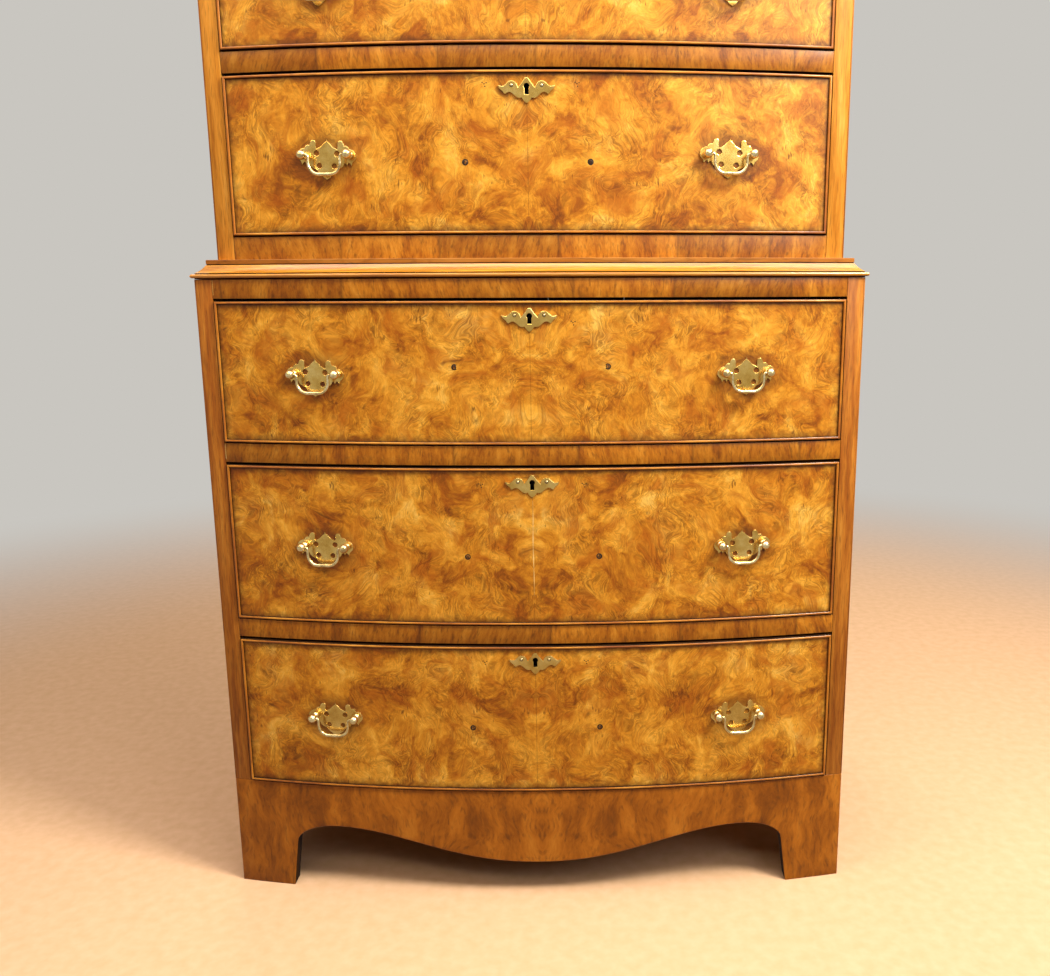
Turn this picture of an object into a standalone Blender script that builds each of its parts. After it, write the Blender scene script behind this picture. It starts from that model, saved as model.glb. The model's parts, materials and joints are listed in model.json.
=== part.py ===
"""Bow-fronted chest on chest: two cases of drawers, one standing on the other.

Metres, +Z up, the front looks along -Y. The origin is on the floor under the middle of the
overall box. Drawers are numbered from the bottom up; 1 to 3 are in the lower case.
"""
import math

import bmesh
import bpy
from mathutils import Matrix

# ------------------------------------------------------------------ driving dimensions
# Cases
CASE_WIDTH = 0.800             # lower case over its side panels
CASE_DEPTH = 0.460             # lower side panel, front edge to back edge
BOW = 0.041                    # the middle of the lower front stands this far before its corners
STEP = 0.023                   # the upper case stands back this far, at the front and both sides
SIDE_THICK = 0.022             # side panels, whose front edges are the stiles
BACK_THICK = 0.010             # back panels
FACETS = 12                    # flats that the bow is drawn with

# Heights of the lower case, from the floor up
BASE_HEIGHT = 0.147
LOWER_OPENINGS = (0.1985, 0.2010, 0.1730)
RAIL_HEIGHT = 0.0235           # rail between two drawers
LOWER_TOP_RAIL = 0.0225

# Heights of the upper case
WAIST_HEIGHT = 0.023           # waist moulding, which stands round the foot of the upper case
UPPER_BOTTOM_RAIL = 0.0265     # what shows of it above the waist moulding
UPPER_OPENINGS = (0.1835, 0.1430, 0.1220)
UPPER_TOP_RAIL = 0.0200        # what shows of it below the cornice
CORNICE_HEIGHT = 0.0460

# Boards
RAIL_DEPTH = 0.050
DUST_THICK = 0.012             # dust board behind a rail, its top level with the rail's
BOARD_THICK = 0.018            # bottom and top boards

# Bracket base
APRON_THICK = 0.022
FOOT_WIDTH = 0.073             # front foot at the floor
FOOT_TAPER = 0.008             # how far the foot's inner edge leans out up to the spandrel
SPANDREL_Z = 0.063             # where the foot's inner edge turns into the arch
ARCH_Z = 0.090                 # highest points of the front arch
ARCH_FROM_SIDE = 0.138         # where they are, in from the sides of the case
APRON_LOW_Z = 0.0473           # lowest point of the front apron, in the middle
APRON_SWELL = 1.15             # how slowly the apron rises from that point
SIDE_FOOT = 0.085              # feet at the sides, front and back
SIDE_ARCH_Z = 0.090
BACK_RAIL_Z = 0.060            # lower edge of the plain back rail
BRACKET_CORNER = 0.030         # quarter rounds of the side and back arches

# Waist moulding; "out" is measured from the lower case's face
WAIST_NOSE = 0.004             # how far the half-round nose stands out
NOSE_RADIUS = 0.0036
COVE_LOW_OUT = -0.0015
COVE_HIGH_OUT = -0.0085
WAIST_FILLET_OUT = -0.012
WAIST_FILLET_HEIGHT = 0.0058
QUIRK = 0.0006                 # the thin step between nose and cove

# Cornice; "out" is measured from the upper case's face
CORNICE_OUT = 0.026
CORNICE_COVE_OUT = 0.016
CORNICE_COVE_HEIGHT = 0.0200
CORNICE_FOOT = 0.004           # square fillet at the bottom
CORNICE_STEP = 0.002           # square step between cove and ovolo
CORNICE_FILLET = 0.007         # square fillet at the top

# Drawers
GAP_TOP = 0.0030
GAP_BOTTOM = 0.0015
GAP_SIDE = 0.0012
FRONT_THICK = 0.020
BEAD_WIDTH = 0.0035
BEAD_PROUD = 0.0028
BEAD_EDGE = 0.0020             # how proud it is at its outer edge
BOX_SIDE = 0.010               # drawer sides and back
BOX_BOTTOM = 0.006
BOX_SKIRT = 0.005              # the bottom board is this far above the sides' lower edges
BOX_BELOW_FRONT = 0.012        # the sides are this much lower than the front
BOX_SIDE_GAP = 0.0015
BOX_BACK_GAP = 0.012           # between a shut drawer and the case's back panel

# Pulls
PULL_FROM_SIDE = 0.144         # from the side of the case to the middle of the pull
PULL_DROP = 0.0015             # pull axis below the middle of the opening
PLATE_THICK = 0.0015
POST_PITCH = 0.054
POST_RADIUS = 0.0022
NECK_RADIUS = 0.0030
BALL_RADIUS = 0.0052
BALL_FLAT = 0.0046             # width of the stretch of the ball that has its full radius
BALL_TIP = 0.0026              # radius of the ball's outer end
AXIS_OUT = 0.0110              # bail axis in front of the plate's back
BAIL_WIRE = 0.0016             # radius
BAIL_DROP = 0.022
BAIL_CORNER = 0.0105           # lower corners
BAIL_BEND = 0.0030             # where a leg turns out to its pin
BAIL_GAP = 0.0012              # between a leg and its ball
PIERCINGS = ((0.0124, 0.0030, 0.0030), (0.0094, -0.0112, 0.0029))  # x, z and radius of each
PIN_DEPTH = 0.0028             # bail end inside the ball
PIN_PLAY = 0.0005              # radial play of that end
NUT_RADIUS = 0.0050
NUT_THICK = 0.0030

# Locks
KEY_DROP = 0.0207              # keyhole below the top of the opening
KEY_RADIUS = 0.0031
KEY_SLOT = 0.0044
KEY_LENGTH = 0.0088            # from the middle of the round part down
ESCUTCHEON_THICK = 0.0012
TUBE_WIDTH = 0.0090
LOCK_WIDTH = 0.060
LOCK_HEIGHT = 0.036
LOCK_THICK = 0.010
KEY_DEEP = 0.007               # how far the keyhole goes into the lock case

FIT = 0.0003                   # gap between pieces that touch
CUT = 0.010                    # how far a cutter runs past what it cuts
POST_SIDES = 6                 # flats that a pull's post is drawn with

# ------------------------------------------------------------------ derived sizes
HALF = CASE_WIDTH / 2
UPPER_HALF = HALF - STEP
OVERALL_DEPTH = CASE_DEPTH + BOW + WAIST_NOSE
BACK_Y = OVERALL_DEPTH / 2
CORNER_Y = BACK_Y - CASE_DEPTH
BACK_PANEL_Y = BACK_Y - BACK_THICK
FACET_WIDTH = CASE_WIDTH / FACETS
BOW_RADIUS = (HALF ** 2 + BOW ** 2) / (2 * BOW)


def stack(bottom, openings, rail):
    """The (low, high) heights of openings stacked with a rail between each two."""
    spans = []
    z = bottom
    for height in openings:
        spans.append((z, z + height))
        z += height + rail
    return spans


LOWER_SPANS = stack(BASE_HEIGHT, LOWER_OPENINGS, RAIL_HEIGHT)
LOWER_TOP_Z = LOWER_SPANS[-1][1] + LOWER_TOP_RAIL
WAIST_TOP_Z = LOWER_TOP_Z + WAIST_HEIGHT
UPPER_SPANS = stack(WAIST_TOP_Z + UPPER_BOTTOM_RAIL, UPPER_OPENINGS, RAIL_HEIGHT)
CORNICE_Z = UPPER_SPANS[-1][1] + UPPER_TOP_RAIL
TOP_Z = CORNICE_Z + CORNICE_HEIGHT

# ------------------------------------------------------------------ materials
FINISHES = {
    "burr_walnut": ((0.62, 0.27, 0.04), 0.30, 0.0),
    "walnut": ((0.45, 0.17, 0.03), 0.35, 0.0),
    "oak": ((0.52, 0.36, 0.20), 0.60, 0.0),
    "pine": ((0.58, 0.42, 0.24), 0.65, 0.0),
    "brass": ((0.60, 0.46, 0.20), 0.30, 1.0),
}


def make_finishes():
    """One Principled material per finish."""
    made = {}
    for name, (colour, roughness, metallic) in FINISHES.items():
        material = bpy.data.materials.new(name)
        material.use_nodes = True
        shader = material.node_tree.nodes["Principled BSDF"]
        shader.inputs["Base Color"].default_value = (*colour, 1.0)
        shader.inputs["Roughness"].default_value = roughness
        shader.inputs["Metallic"].default_value = metallic
        made[name] = material
    return made


# ------------------------------------------------------------------ the bow
def arc_y(x):
    """The true arc of the lower front."""
    return CORNER_Y - (math.sqrt(BOW_RADIUS ** 2 - x * x) - (BOW_RADIUS - BOW))


def bow_y(x, back=0.0):
    """The lower front's face at x, in flats that every bowed piece shares, moved back by `back`."""
    flat = min(max(int((x + HALF) // FACET_WIDTH), 0), FACETS - 1)
    x0 = -HALF + flat * FACET_WIDTH
    x1 = x0 + FACET_WIDTH
    t = (x - x0) / FACET_WIDTH
    return arc_y(x0) * (1 - t) + arc_y(x1) * t + back


def joints_between(x0, x1):
    """The x of the bow's joints strictly between x0 and x1."""
    every = [-HALF + k * FACET_WIDTH for k in range(FACETS + 1)]
    return [x for x in every if x0 + FIT < x < x1 - FIT]


def stations(x0, x1, extra=()):
    """x0, x1, the bow's joints between them and any extra places, in order."""
    return sorted({x0, x1, *joints_between(x0, x1), *extra})


# ------------------------------------------------------------------ mesh helpers
def new_object(name, mesh, finish=None, parent=None):
    obj = bpy.data.objects.new(name, mesh)
    bpy.context.scene.collection.objects.link(obj)
    if finish:
        mesh.materials.append(finish)
    obj.parent = parent
    return obj


def finish_mesh(bm, name):
    """Point the faces outwards and hand back a mesh."""
    bmesh.ops.recalc_face_normals(bm, faces=bm.faces)
    mesh = bpy.data.meshes.new(name)
    bm.to_mesh(mesh)
    bm.free()
    return mesh


def loft_mesh(name, rings, closed=False):
    """Join rings of points that match one to one; the ends are capped unless the loft is closed."""
    bm = bmesh.new()
    loops = [[bm.verts.new(p) for p in ring] for ring in rings]
    pairs = list(zip(loops, loops[1:]))
    if closed:
        pairs.append((loops[-1], loops[0]))
    count = len(loops[0])
    for a, b in pairs:
        for i in range(count):
            j = (i + 1) % count
            bm.faces.new((a[i], a[j], b[j], b[i]))
    if not closed:
        bm.faces.new(loops[0])
        bm.faces.new(loops[-1])
    return finish_mesh(bm, name)


def sweep_x(name, xs, section_at):
    """A bar along X whose (y, z) section is given at each x."""
    return loft_mesh(name, [[(x, y, z) for y, z in section_at(x)] for x in xs])


def prism_mesh(name, outline, axis, low, high):
    """An outline extruded along X or Y. Its points are (y, z) for X and (x, z) for Y."""
    def ring(at):
        if axis == "X":
            return [(at, a, b) for a, b in outline]
        return [(a, at, b) for a, b in outline]
    return loft_mesh(name, [ring(low), ring(high)])


def box_mesh(name, low, high):
    outline = [(low[1], low[2]), (high[1], low[2]), (high[1], high[2]), (low[1], high[2])]
    return prism_mesh(name, outline, "X", low[0], high[0])


def turned_mesh(name, profile, sides):
    """A solid turned about Y from (y, radius) pairs; each end has a flat cap."""
    rings = []
    for y, radius in profile:
        angles = [2 * math.pi * (k + 0.5) / sides for k in range(sides)]
        rings.append([(radius * math.cos(a), y, radius * math.sin(a)) for a in angles])
    return loft_mesh(name, rings)


def boolean(obj, mesh, operation, matrix=None, parent=None):
    """Add or cut away a shape with a Boolean, and keep the other shape as a hidden wire."""
    other = new_object(obj.name + "_tool", mesh, parent=parent)
    if matrix is not None:
        other.matrix_local = matrix
    other.hide_render = True
    other.display_type = "WIRE"
    modifier = obj.modifiers.new(operation.title(), "BOOLEAN")
    modifier.object = other
    modifier.operation = operation
    modifier.solver = "EXACT"
    return other


def cut(obj, mesh, matrix=None, parent=None):
    return boolean(obj, mesh, "DIFFERENCE", matrix, parent)


def join(obj, mesh, matrix=None, parent=None):
    return boolean(obj, mesh, "UNION", matrix, parent)


# ------------------------------------------------------------------ case boards
def side_panel(name, finish, half, back, low, high, sign):
    """A side panel. Its front edge lies on the bow and is the stile."""
    inner = half - SIDE_THICK
    xs = stations(*sorted((sign * inner, sign * half)))
    ys = BACK_Y

    def section(x):
        front = bow_y(x, back)
        return [(front, low), (ys, low), (ys, high), (front, high)]
    return new_object(name, sweep_x(name, xs, section), finish)


def railed_board(name, finish, half, back, rail_low, board_low, top):
    """A board between the side panels with a deeper rail along its bowed front edge.

    The board's top is level with the rail's. It stops short of the back panel.
    """
    reach = half - SIDE_THICK - FIT
    end = BACK_PANEL_Y - FIT

    def section(x):
        front = bow_y(x, back)
        rail_back = front + RAIL_DEPTH
        return [(front, rail_low), (rail_back, rail_low), (rail_back, board_low),
                (end, board_low), (end, top), (front, top)]
    return new_object(name, sweep_x(name, stations(-reach, reach), section), finish)


def back_panel(name, finish, half, low, high):
    reach = half - SIDE_THICK - FIT
    mesh = box_mesh(name, (-reach, BACK_PANEL_Y, low), (reach, BACK_Y, high))
    return new_object(name, mesh, finish)


# ------------------------------------------------------------------ bracket base
def apron_outline():
    """The front opening under the apron, from the middle to the right foot, then mirrored."""
    foot_x = HALF - FOOT_WIDTH
    turn_x = foot_x - FOOT_TAPER
    arch_x = HALF - ARCH_FROM_SIDE
    right = []
    for k in range(9):
        t = k / 8
        rise = (1 - math.cos(math.pi * t ** APRON_SWELL)) / 2
        right.append((arch_x * t, APRON_LOW_Z + (ARCH_Z - APRON_LOW_Z) * rise))
    for k in range(1, 5):
        a = math.pi / 2 * k / 4
        right.append((arch_x + (turn_x - arch_x) * math.sin(a),
                      SPANDREL_Z + (ARCH_Z - SPANDREL_Z) * math.cos(a)))
    slope = FOOT_TAPER / SPANDREL_Z
    right.append((foot_x + slope * CUT, -CUT))
    left = [(-x, z) for x, z in reversed(right[1:])]
    return left + right


def bracket_outline(low, high, top):
    """A plain bracket opening with quarter-round corners, between two feet."""
    points = [(low, -CUT)]
    for k in range(4):
        a = math.pi / 2 * k / 3
        rise = top - BRACKET_CORNER * (1 - math.sin(a))
        points.append((low + BRACKET_CORNER * (1 - math.cos(a)), rise))
    for k in range(4):
        a = math.pi / 2 * (1 - k / 3)
        rise = top - BRACKET_CORNER * (1 - math.sin(a))
        points.append((high - BRACKET_CORNER * (1 - math.cos(a)), rise))
    points.append((high, -CUT))
    return points


def bracket_base(finish):
    """The base frame: bowed front apron, side aprons and back rail, cut out between the feet."""
    xs = stations(-HALF, HALF)
    inner_x = HALF - APRON_THICK
    inner_xs = stations(-inner_x, inner_x)
    outer = [(-HALF, BACK_Y)] + [(x, bow_y(x)) for x in xs] + [(HALF, BACK_Y)]
    inner = [(-inner_x, BACK_Y - APRON_THICK)]
    inner += [(x, bow_y(x, APRON_THICK)) for x in inner_xs]
    inner += [(inner_x, BACK_Y - APRON_THICK)]
    rings = []
    for (ox, oy), (ix, iy) in zip(outer, inner):
        rings.append([(ox, oy, 0), (ix, iy, 0), (ix, iy, BASE_HEIGHT), (ox, oy, BASE_HEIGHT)])
    base = new_object("bracket_base", loft_mesh("bracket_base", rings, closed=True), finish)
    front = prism_mesh("front_arch", apron_outline(), "Y",
                       arc_y(0) - CUT, bow_y(inner_x, APRON_THICK) + CUT)
    cut(base, front)
    side = bracket_outline(CORNER_Y + SIDE_FOOT, BACK_Y - SIDE_FOOT, SIDE_ARCH_Z)
    cut(base, prism_mesh("side_arch", side, "X", -HALF - CUT, HALF + CUT))
    back = bracket_outline(-HALF + SIDE_FOOT, HALF - SIDE_FOOT, BACK_RAIL_Z)
    cut(base, prism_mesh("back_arch", back, "Y", BACK_Y - APRON_THICK - CUT, BACK_Y + CUT))
    return base


def bottom_board(finish):
    """The lower case's bottom board, let into the bracket base level with its top."""
    reach = HALF - APRON_THICK - FIT
    end = BACK_Y - APRON_THICK - FIT
    low = BASE_HEIGHT - BOARD_THICK

    def section(x):
        front = bow_y(x, APRON_THICK + FIT)
        return [(front, low), (end, low), (end, BASE_HEIGHT), (front, BASE_HEIGHT)]
    mesh = sweep_x("lower_bottom_board", stations(-reach, reach), section)
    return new_object("lower_bottom_board", mesh, finish)


# ------------------------------------------------------------------ mouldings
def moulding(name, finish, half, back, profile):
    """A moulding round the front and sides of a case.

    profile is a closed list of (out, z): out from the case face. The corners are mitred.
    """
    xs = joints_between(SIDE_THICK - half, half - SIDE_THICK)
    columns = []
    for out, z in profile:
        edge = half + out
        front = bow_y(edge, back) - out
        path = [(-edge, BACK_Y, z), (-edge, front, z)]
        path += [(x, bow_y(x, back) - out, z) for x in xs]
        path += [(edge, front, z), (edge, BACK_Y, z)]
        columns.append(path)
    rings = list(zip(*columns))
    return new_object(name, loft_mesh(name, rings), finish)


def cove(low, high, count):
    """Points up a hollow quarter curve that leaves `low` upright and reaches `high` level."""
    points = []
    for k in range(count + 1):
        a = math.pi / 2 * k / count
        points.append((low[0] + (high[0] - low[0]) * (1 - math.cos(a)),
                       low[1] + (high[1] - low[1]) * math.sin(a)))
    return points


def waist_profile():
    """From the inside foot: flat bottom, half-round nose, quirk, cove, shelf and square fillet."""
    z0 = LOWER_TOP_Z + FIT
    inside = -STEP + 2 * FIT
    centre = (WAIST_NOSE - NOSE_RADIUS, z0 + NOSE_RADIUS)
    points = [(inside, z0)]
    for k in range(5):
        a = math.pi * (k / 4 - 0.5)
        points.append((centre[0] + NOSE_RADIUS * math.cos(a), centre[1] + NOSE_RADIUS * math.sin(a)))
    shelf_z = WAIST_TOP_Z - WAIST_FILLET_HEIGHT
    low = (COVE_LOW_OUT, z0 + 2 * NOSE_RADIUS + QUIRK)
    for k in range(4):
        a = math.pi / 2 * k / 3
        points.append((low[0] + (COVE_HIGH_OUT - low[0]) * math.sin(a),
                       low[1] + (shelf_z - low[1]) * (1 - math.cos(a))))
    points += [(WAIST_FILLET_OUT, shelf_z), (WAIST_FILLET_OUT, WAIST_TOP_Z), (inside, WAIST_TOP_Z)]
    return points


def cornice_profile():
    """From the inside foot: fillet, cove, step, ovolo and top fillet."""
    cove_z = CORNICE_Z + CORNICE_FOOT
    step_z = cove_z + CORNICE_COVE_HEIGHT
    ovolo_z = step_z + CORNICE_STEP
    fillet_z = TOP_Z - CORNICE_FILLET
    ovolo_out = CORNICE_COVE_OUT + CORNICE_STEP
    points = [(FIT, CORNICE_Z), (CORNICE_FOOT, CORNICE_Z), (CORNICE_FOOT, cove_z)]
    points += cove((CORNICE_FOOT + FIT, cove_z), (CORNICE_COVE_OUT, step_z), 4)
    points.append((ovolo_out, step_z))
    for k in range(4):
        a = math.pi / 2 * k / 3
        points.append((ovolo_out + (CORNICE_OUT - FIT - ovolo_out) * math.sin(a),
                       ovolo_z + (fillet_z - ovolo_z) * (1 - math.cos(a))))
    points += [(CORNICE_OUT, fillet_z), (CORNICE_OUT, TOP_Z), (FIT, TOP_Z)]
    return points


# ------------------------------------------------------------------ drawer fronts and boxes
def bead_height(depth):
    """How proud the cock bead stands at a distance from the front's edge."""
    if depth > BEAD_WIDTH - FIT / 3:
        return 0.0
    return BEAD_EDGE if depth < FIT / 3 else BEAD_PROUD


def front_mesh(name, half, back, low, high):
    """A bowed drawer front with a bead round its edge, as a grid bent to the bow."""
    steps = (0.0, BEAD_WIDTH / 2, BEAD_WIDTH)
    edges = [-half + s for s in steps] + [half - s for s in steps]
    xs = stations(-half, half, edges)
    zs = sorted([low + s for s in steps] + [high - s for s in steps])
    bm = bmesh.new()

    def face_point(x, z):
        depth = min(x + half, half - x, z - low, high - z)
        return (x, bow_y(x, back) - bead_height(depth), z)
    face = [[bm.verts.new(face_point(x, z)) for z in zs] for x in xs]
    rear = [[bm.verts.new((x, bow_y(x, back) + FRONT_THICK, z)) for z in (low, high)] for x in xs]
    last = len(zs) - 1
    for i in range(len(xs) - 1):
        for j in range(last):
            bm.faces.new((face[i][j], face[i + 1][j], face[i + 1][j + 1], face[i][j + 1]))
        bm.faces.new((rear[i][0], rear[i + 1][0], rear[i + 1][1], rear[i][1]))
        bm.faces.new((face[i][0], face[i + 1][0], rear[i + 1][0], rear[i][0]))
        bm.faces.new((face[i][last], face[i + 1][last], rear[i + 1][1], rear[i][1]))
    for i in (0, len(xs) - 1):
        bm.faces.new([*face[i], rear[i][1], rear[i][0]])
    return finish_mesh(bm, name)


def drawer_box(name, finish, half, back, low, high, parent):
    """The drawer's sides, back and bottom: a tray whose open front follows the bow."""
    end = BACK_PANEL_Y - BOX_BACK_GAP

    def section(x):
        front = bow_y(x, back) + FRONT_THICK + FIT
        return [(front, low), (end, low), (end, high), (front, high)]
    box = new_object(name, sweep_x(name, stations(-half, half), section), finish, parent)
    front_limit = bow_y(0, back) - CUT
    inner = half - BOX_SIDE
    bottom_top = low + BOX_SKIRT + BOX_BOTTOM
    inside = box_mesh("inside", (-inner, front_limit, bottom_top), (inner, end - BOX_SIDE, high + CUT))
    cut(box, inside, parent=parent)
    under = box_mesh("under", (-inner, front_limit, low - CUT), (inner, end - BOX_SIDE, low + BOX_SKIRT))
    cut(box, under, parent=parent)
    return box


# ------------------------------------------------------------------ pulls
def plate_outline():
    """Backplate outline seen from the front, metres from the pull's axis, made symmetrical."""
    right = [(0.0, 18.6), (2.6, 14.4), (7.2, 9.6), (12.6, 6.4), (12.8, 14.6), (16.2, 17.8),
             (19.2, 16.0), (22.0, 11.6), (26.4, 11.2), (28.8, 7.6), (33.6, 6.4), (35.9, 0.6),
             (33.4, -5.0), (29.4, -9.6), (24.2, -8.4), (14.0, -12.4), (8.4, -19.2), (0.0, -26.4)]
    millimetre = 0.001
    left = [(-x, z) for x, z in reversed(right[1:-1])]
    return [(x * millimetre, z * millimetre) for x, z in right + left]


def pull_plate(name, finish, parent, place):
    """Backplate with two posts through the drawer front and a nut on each."""
    plate = prism_mesh(name, plate_outline(), "Y", -FIT - PLATE_THICK, -FIT)
    obj = new_object(name, plate, finish, parent)
    obj.matrix_local = place
    for x, z, radius in PIERCINGS:
        for side in (-1, 1):
            hole = turned_mesh("piercing", [(-CUT, radius), (CUT, radius)], 6)
            cut(obj, hole, place @ Matrix.Translation((side * x, 0, z)), parent)
    nut_y = FRONT_THICK + 2 * FIT
    seat_y = -FIT - PLATE_THICK / 2
    post = [(-AXIS_OUT - BALL_RADIUS, BALL_TIP), (-AXIS_OUT - BALL_FLAT / 2, BALL_RADIUS),
            (-AXIS_OUT + BALL_FLAT / 2, BALL_RADIUS), (-AXIS_OUT + BALL_RADIUS, NECK_RADIUS),
            (seat_y, NECK_RADIUS), (seat_y, POST_RADIUS), (nut_y, POST_RADIUS),
            (nut_y, NUT_RADIUS), (nut_y + NUT_THICK, NUT_RADIUS)]
    for side in (-1, 1):
        shift = place @ Matrix.Translation((side * POST_PITCH / 2, 0, 0))
        join(obj, turned_mesh("post", post, POST_SIDES), shift, parent)
    reach = POST_PITCH / 2 - BALL_RADIUS + PIN_DEPTH + PIN_PLAY
    bore_radius = (BAIL_WIRE + PIN_PLAY) / math.cos(math.pi / 6)
    ring = [(-AXIS_OUT + bore_radius * math.cos(k * math.pi / 3),
             bore_radius * math.sin(k * math.pi / 3)) for k in range(6)]
    cut(obj, prism_mesh("bore", ring, "X", -reach, reach), place, parent)
    return obj


def bail_path():
    """Centre line of the bail, hanging, from the left pin to the right one, about its axis."""
    pin = POST_PITCH / 2 - BALL_RADIUS + PIN_DEPTH
    leg = POST_PITCH / 2 - BALL_RADIUS - BAIL_GAP - BAIL_WIRE
    flat = leg - BAIL_CORNER
    right = []
    for k in range(4):
        a = math.pi / 2 * k / 3
        right.append((flat + BAIL_CORNER * math.sin(a), -BAIL_DROP + BAIL_CORNER * (1 - math.cos(a))))
    turn = BAIL_BEND * (1 - math.sqrt(0.5))
    right += [(leg, -BAIL_BEND), (leg + turn, -turn), (leg + BAIL_BEND, 0.0), (pin, 0.0)]
    left = [(-x, z) for x, z in reversed(right)]
    return left + right


def bail(name, finish, parent, place):
    """The bail: a bent wire whose origin is on its hinge axis."""
    points = bail_path()
    curve = bpy.data.curves.new(name, "CURVE")
    curve.dimensions = "3D"
    spline = curve.splines.new("POLY")
    spline.points.add(len(points) - 1)
    for point, (x, z) in zip(spline.points, points):
        point.co = (x, 0.0, z, 1.0)
    curve.bevel_depth = BAIL_WIRE
    curve.bevel_resolution = 1
    curve.use_fill_caps = True
    obj = new_object(name, curve, finish, parent)
    obj.matrix_local = place @ Matrix.Translation((0, -AXIS_OUT, 0))
    return obj


# ------------------------------------------------------------------ locks
def escutcheon_outline():
    """Escutcheon outline seen from the front, metres from the middle of the keyhole."""
    right = [(0.0, 9.2), (2.3, 9.2), (4.4, 6.4), (6.9, 3.6), (9.6, -0.8), (11.9, 4.2),
             (16.9, 6.2), (21.9, 4.4), (26.7, 0.0), (32.4, 1.4), (30.3, -3.6), (26.3, -7.8),
             (24.0, -9.0), (19.6, -6.7), (14.8, -9.8), (11.1, -12.6), (5.8, -12.8),
             (2.9, -17.0), (0.0, -18.6)]
    millimetre = 0.001
    left = [(-x, z) for x, z in reversed(right[1:-1])]
    return [(x * millimetre, z * millimetre) for x, z in right + left]


def keyhole_outline():
    """Round above, with a slot below."""
    half = KEY_SLOT / 2
    drop = math.sqrt(KEY_RADIUS ** 2 - half ** 2)
    start = math.atan2(-drop, half)
    sweep = math.pi - 2 * start
    points = []
    for k in range(7):
        a = start + sweep * k / 6
        points.append((KEY_RADIUS * math.cos(a), KEY_RADIUS * math.sin(a)))
    return points + [(-half, -KEY_LENGTH), (half, -KEY_LENGTH)]


def tube_box(name, play):
    """The block round the keyhole that runs through the drawer front, grown by play."""
    half = TUBE_WIDTH / 2 + play
    low = -KEY_LENGTH - (TUBE_WIDTH - KEY_SLOT) / 2 - play
    high = KEY_RADIUS + (TUBE_WIDTH - KEY_SLOT) / 2 + play
    deep = FRONT_THICK + CUT if play else FRONT_THICK + LOCK_THICK / 2
    near = -CUT if play else -FIT - ESCUTCHEON_THICK / 2
    return box_mesh(name, (-half, near, low), (half, deep, high))


def lock(name, finish, parent, place, top):
    """Escutcheon, key tube and lock case. `top` is the lock case's upper edge above the key."""
    plate = prism_mesh(name, escutcheon_outline(), "Y", -FIT - ESCUTCHEON_THICK, -FIT)
    obj = new_object(name, plate, finish, parent)
    obj.matrix_local = place
    join(obj, tube_box("key_tube", 0.0), place, parent)
    back = FRONT_THICK + FIT + bow_y(LOCK_WIDTH / 2) - bow_y(0)
    case = box_mesh("lock_case", (-LOCK_WIDTH / 2, back, top - LOCK_HEIGHT),
                    (LOCK_WIDTH / 2, back + LOCK_THICK, top))
    join(obj, case, place, parent)
    cut(obj, prism_mesh("keyhole", keyhole_outline(), "Y", -CUT, back + KEY_DEEP), place, parent)
    return obj


# ------------------------------------------------------------------ a whole drawer
def pull_place(x, z, back):
    """Where a pull sits: on the bow's flat at x, turned to lie on it."""
    reach = NUT_RADIUS
    slope = (bow_y(x + reach, back) - bow_y(x - reach, back)) / (2 * reach)
    return Matrix.Translation((x, bow_y(x, back), z)) @ Matrix.Rotation(math.atan(slope), 4, "Z")


def drawer(number, finishes, half, back, span):
    """One drawer with its front, box, lock and two pulls, all parented to its runner empty."""
    label = f"drawer_{number}"
    body = bpy.data.objects.new(label, None)
    bpy.context.scene.collection.objects.link(body)
    low = span[0] + GAP_BOTTOM
    high = span[1] - GAP_TOP
    opening = half - SIDE_THICK
    mesh = front_mesh(f"{label}_front", opening - GAP_SIDE, back, low, high)
    front = new_object(f"{label}_front", mesh, finishes["burr_walnut"], body)
    drawer_box(f"{label}_box", finishes["oak"], opening - BOX_SIDE_GAP, back,
               span[0] + FIT, high - BOX_BELOW_FRONT, body)
    key = Matrix.Translation((0, bow_y(0, back), span[1] - KEY_DROP))
    lock(f"{label}_lock", finishes["brass"], body, key, KEY_DROP - GAP_TOP - 2 * FIT)
    cut(front, tube_box("key_way", FIT), key, body)
    middle = (span[0] + span[1]) / 2 - PULL_DROP
    for side, word in ((-1, "left"), (1, "right")):
        place = pull_place(side * (half - PULL_FROM_SIDE), middle, back)
        pull_plate(f"{label}_plate_{word}", finishes["brass"], body, place)
        bail(f"{label}_bail_{word}", finishes["brass"], body, place)
        for post in (-1, 1):
            radius = POST_RADIUS + FIT / math.cos(math.pi / POST_SIDES)
            ends = [(-CUT, radius), (FRONT_THICK + CUT, radius)]
            hole = turned_mesh("post_hole", ends, POST_SIDES)
            cut(front, hole, place @ Matrix.Translation((post * POST_PITCH / 2, 0, 0)), body)


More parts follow.
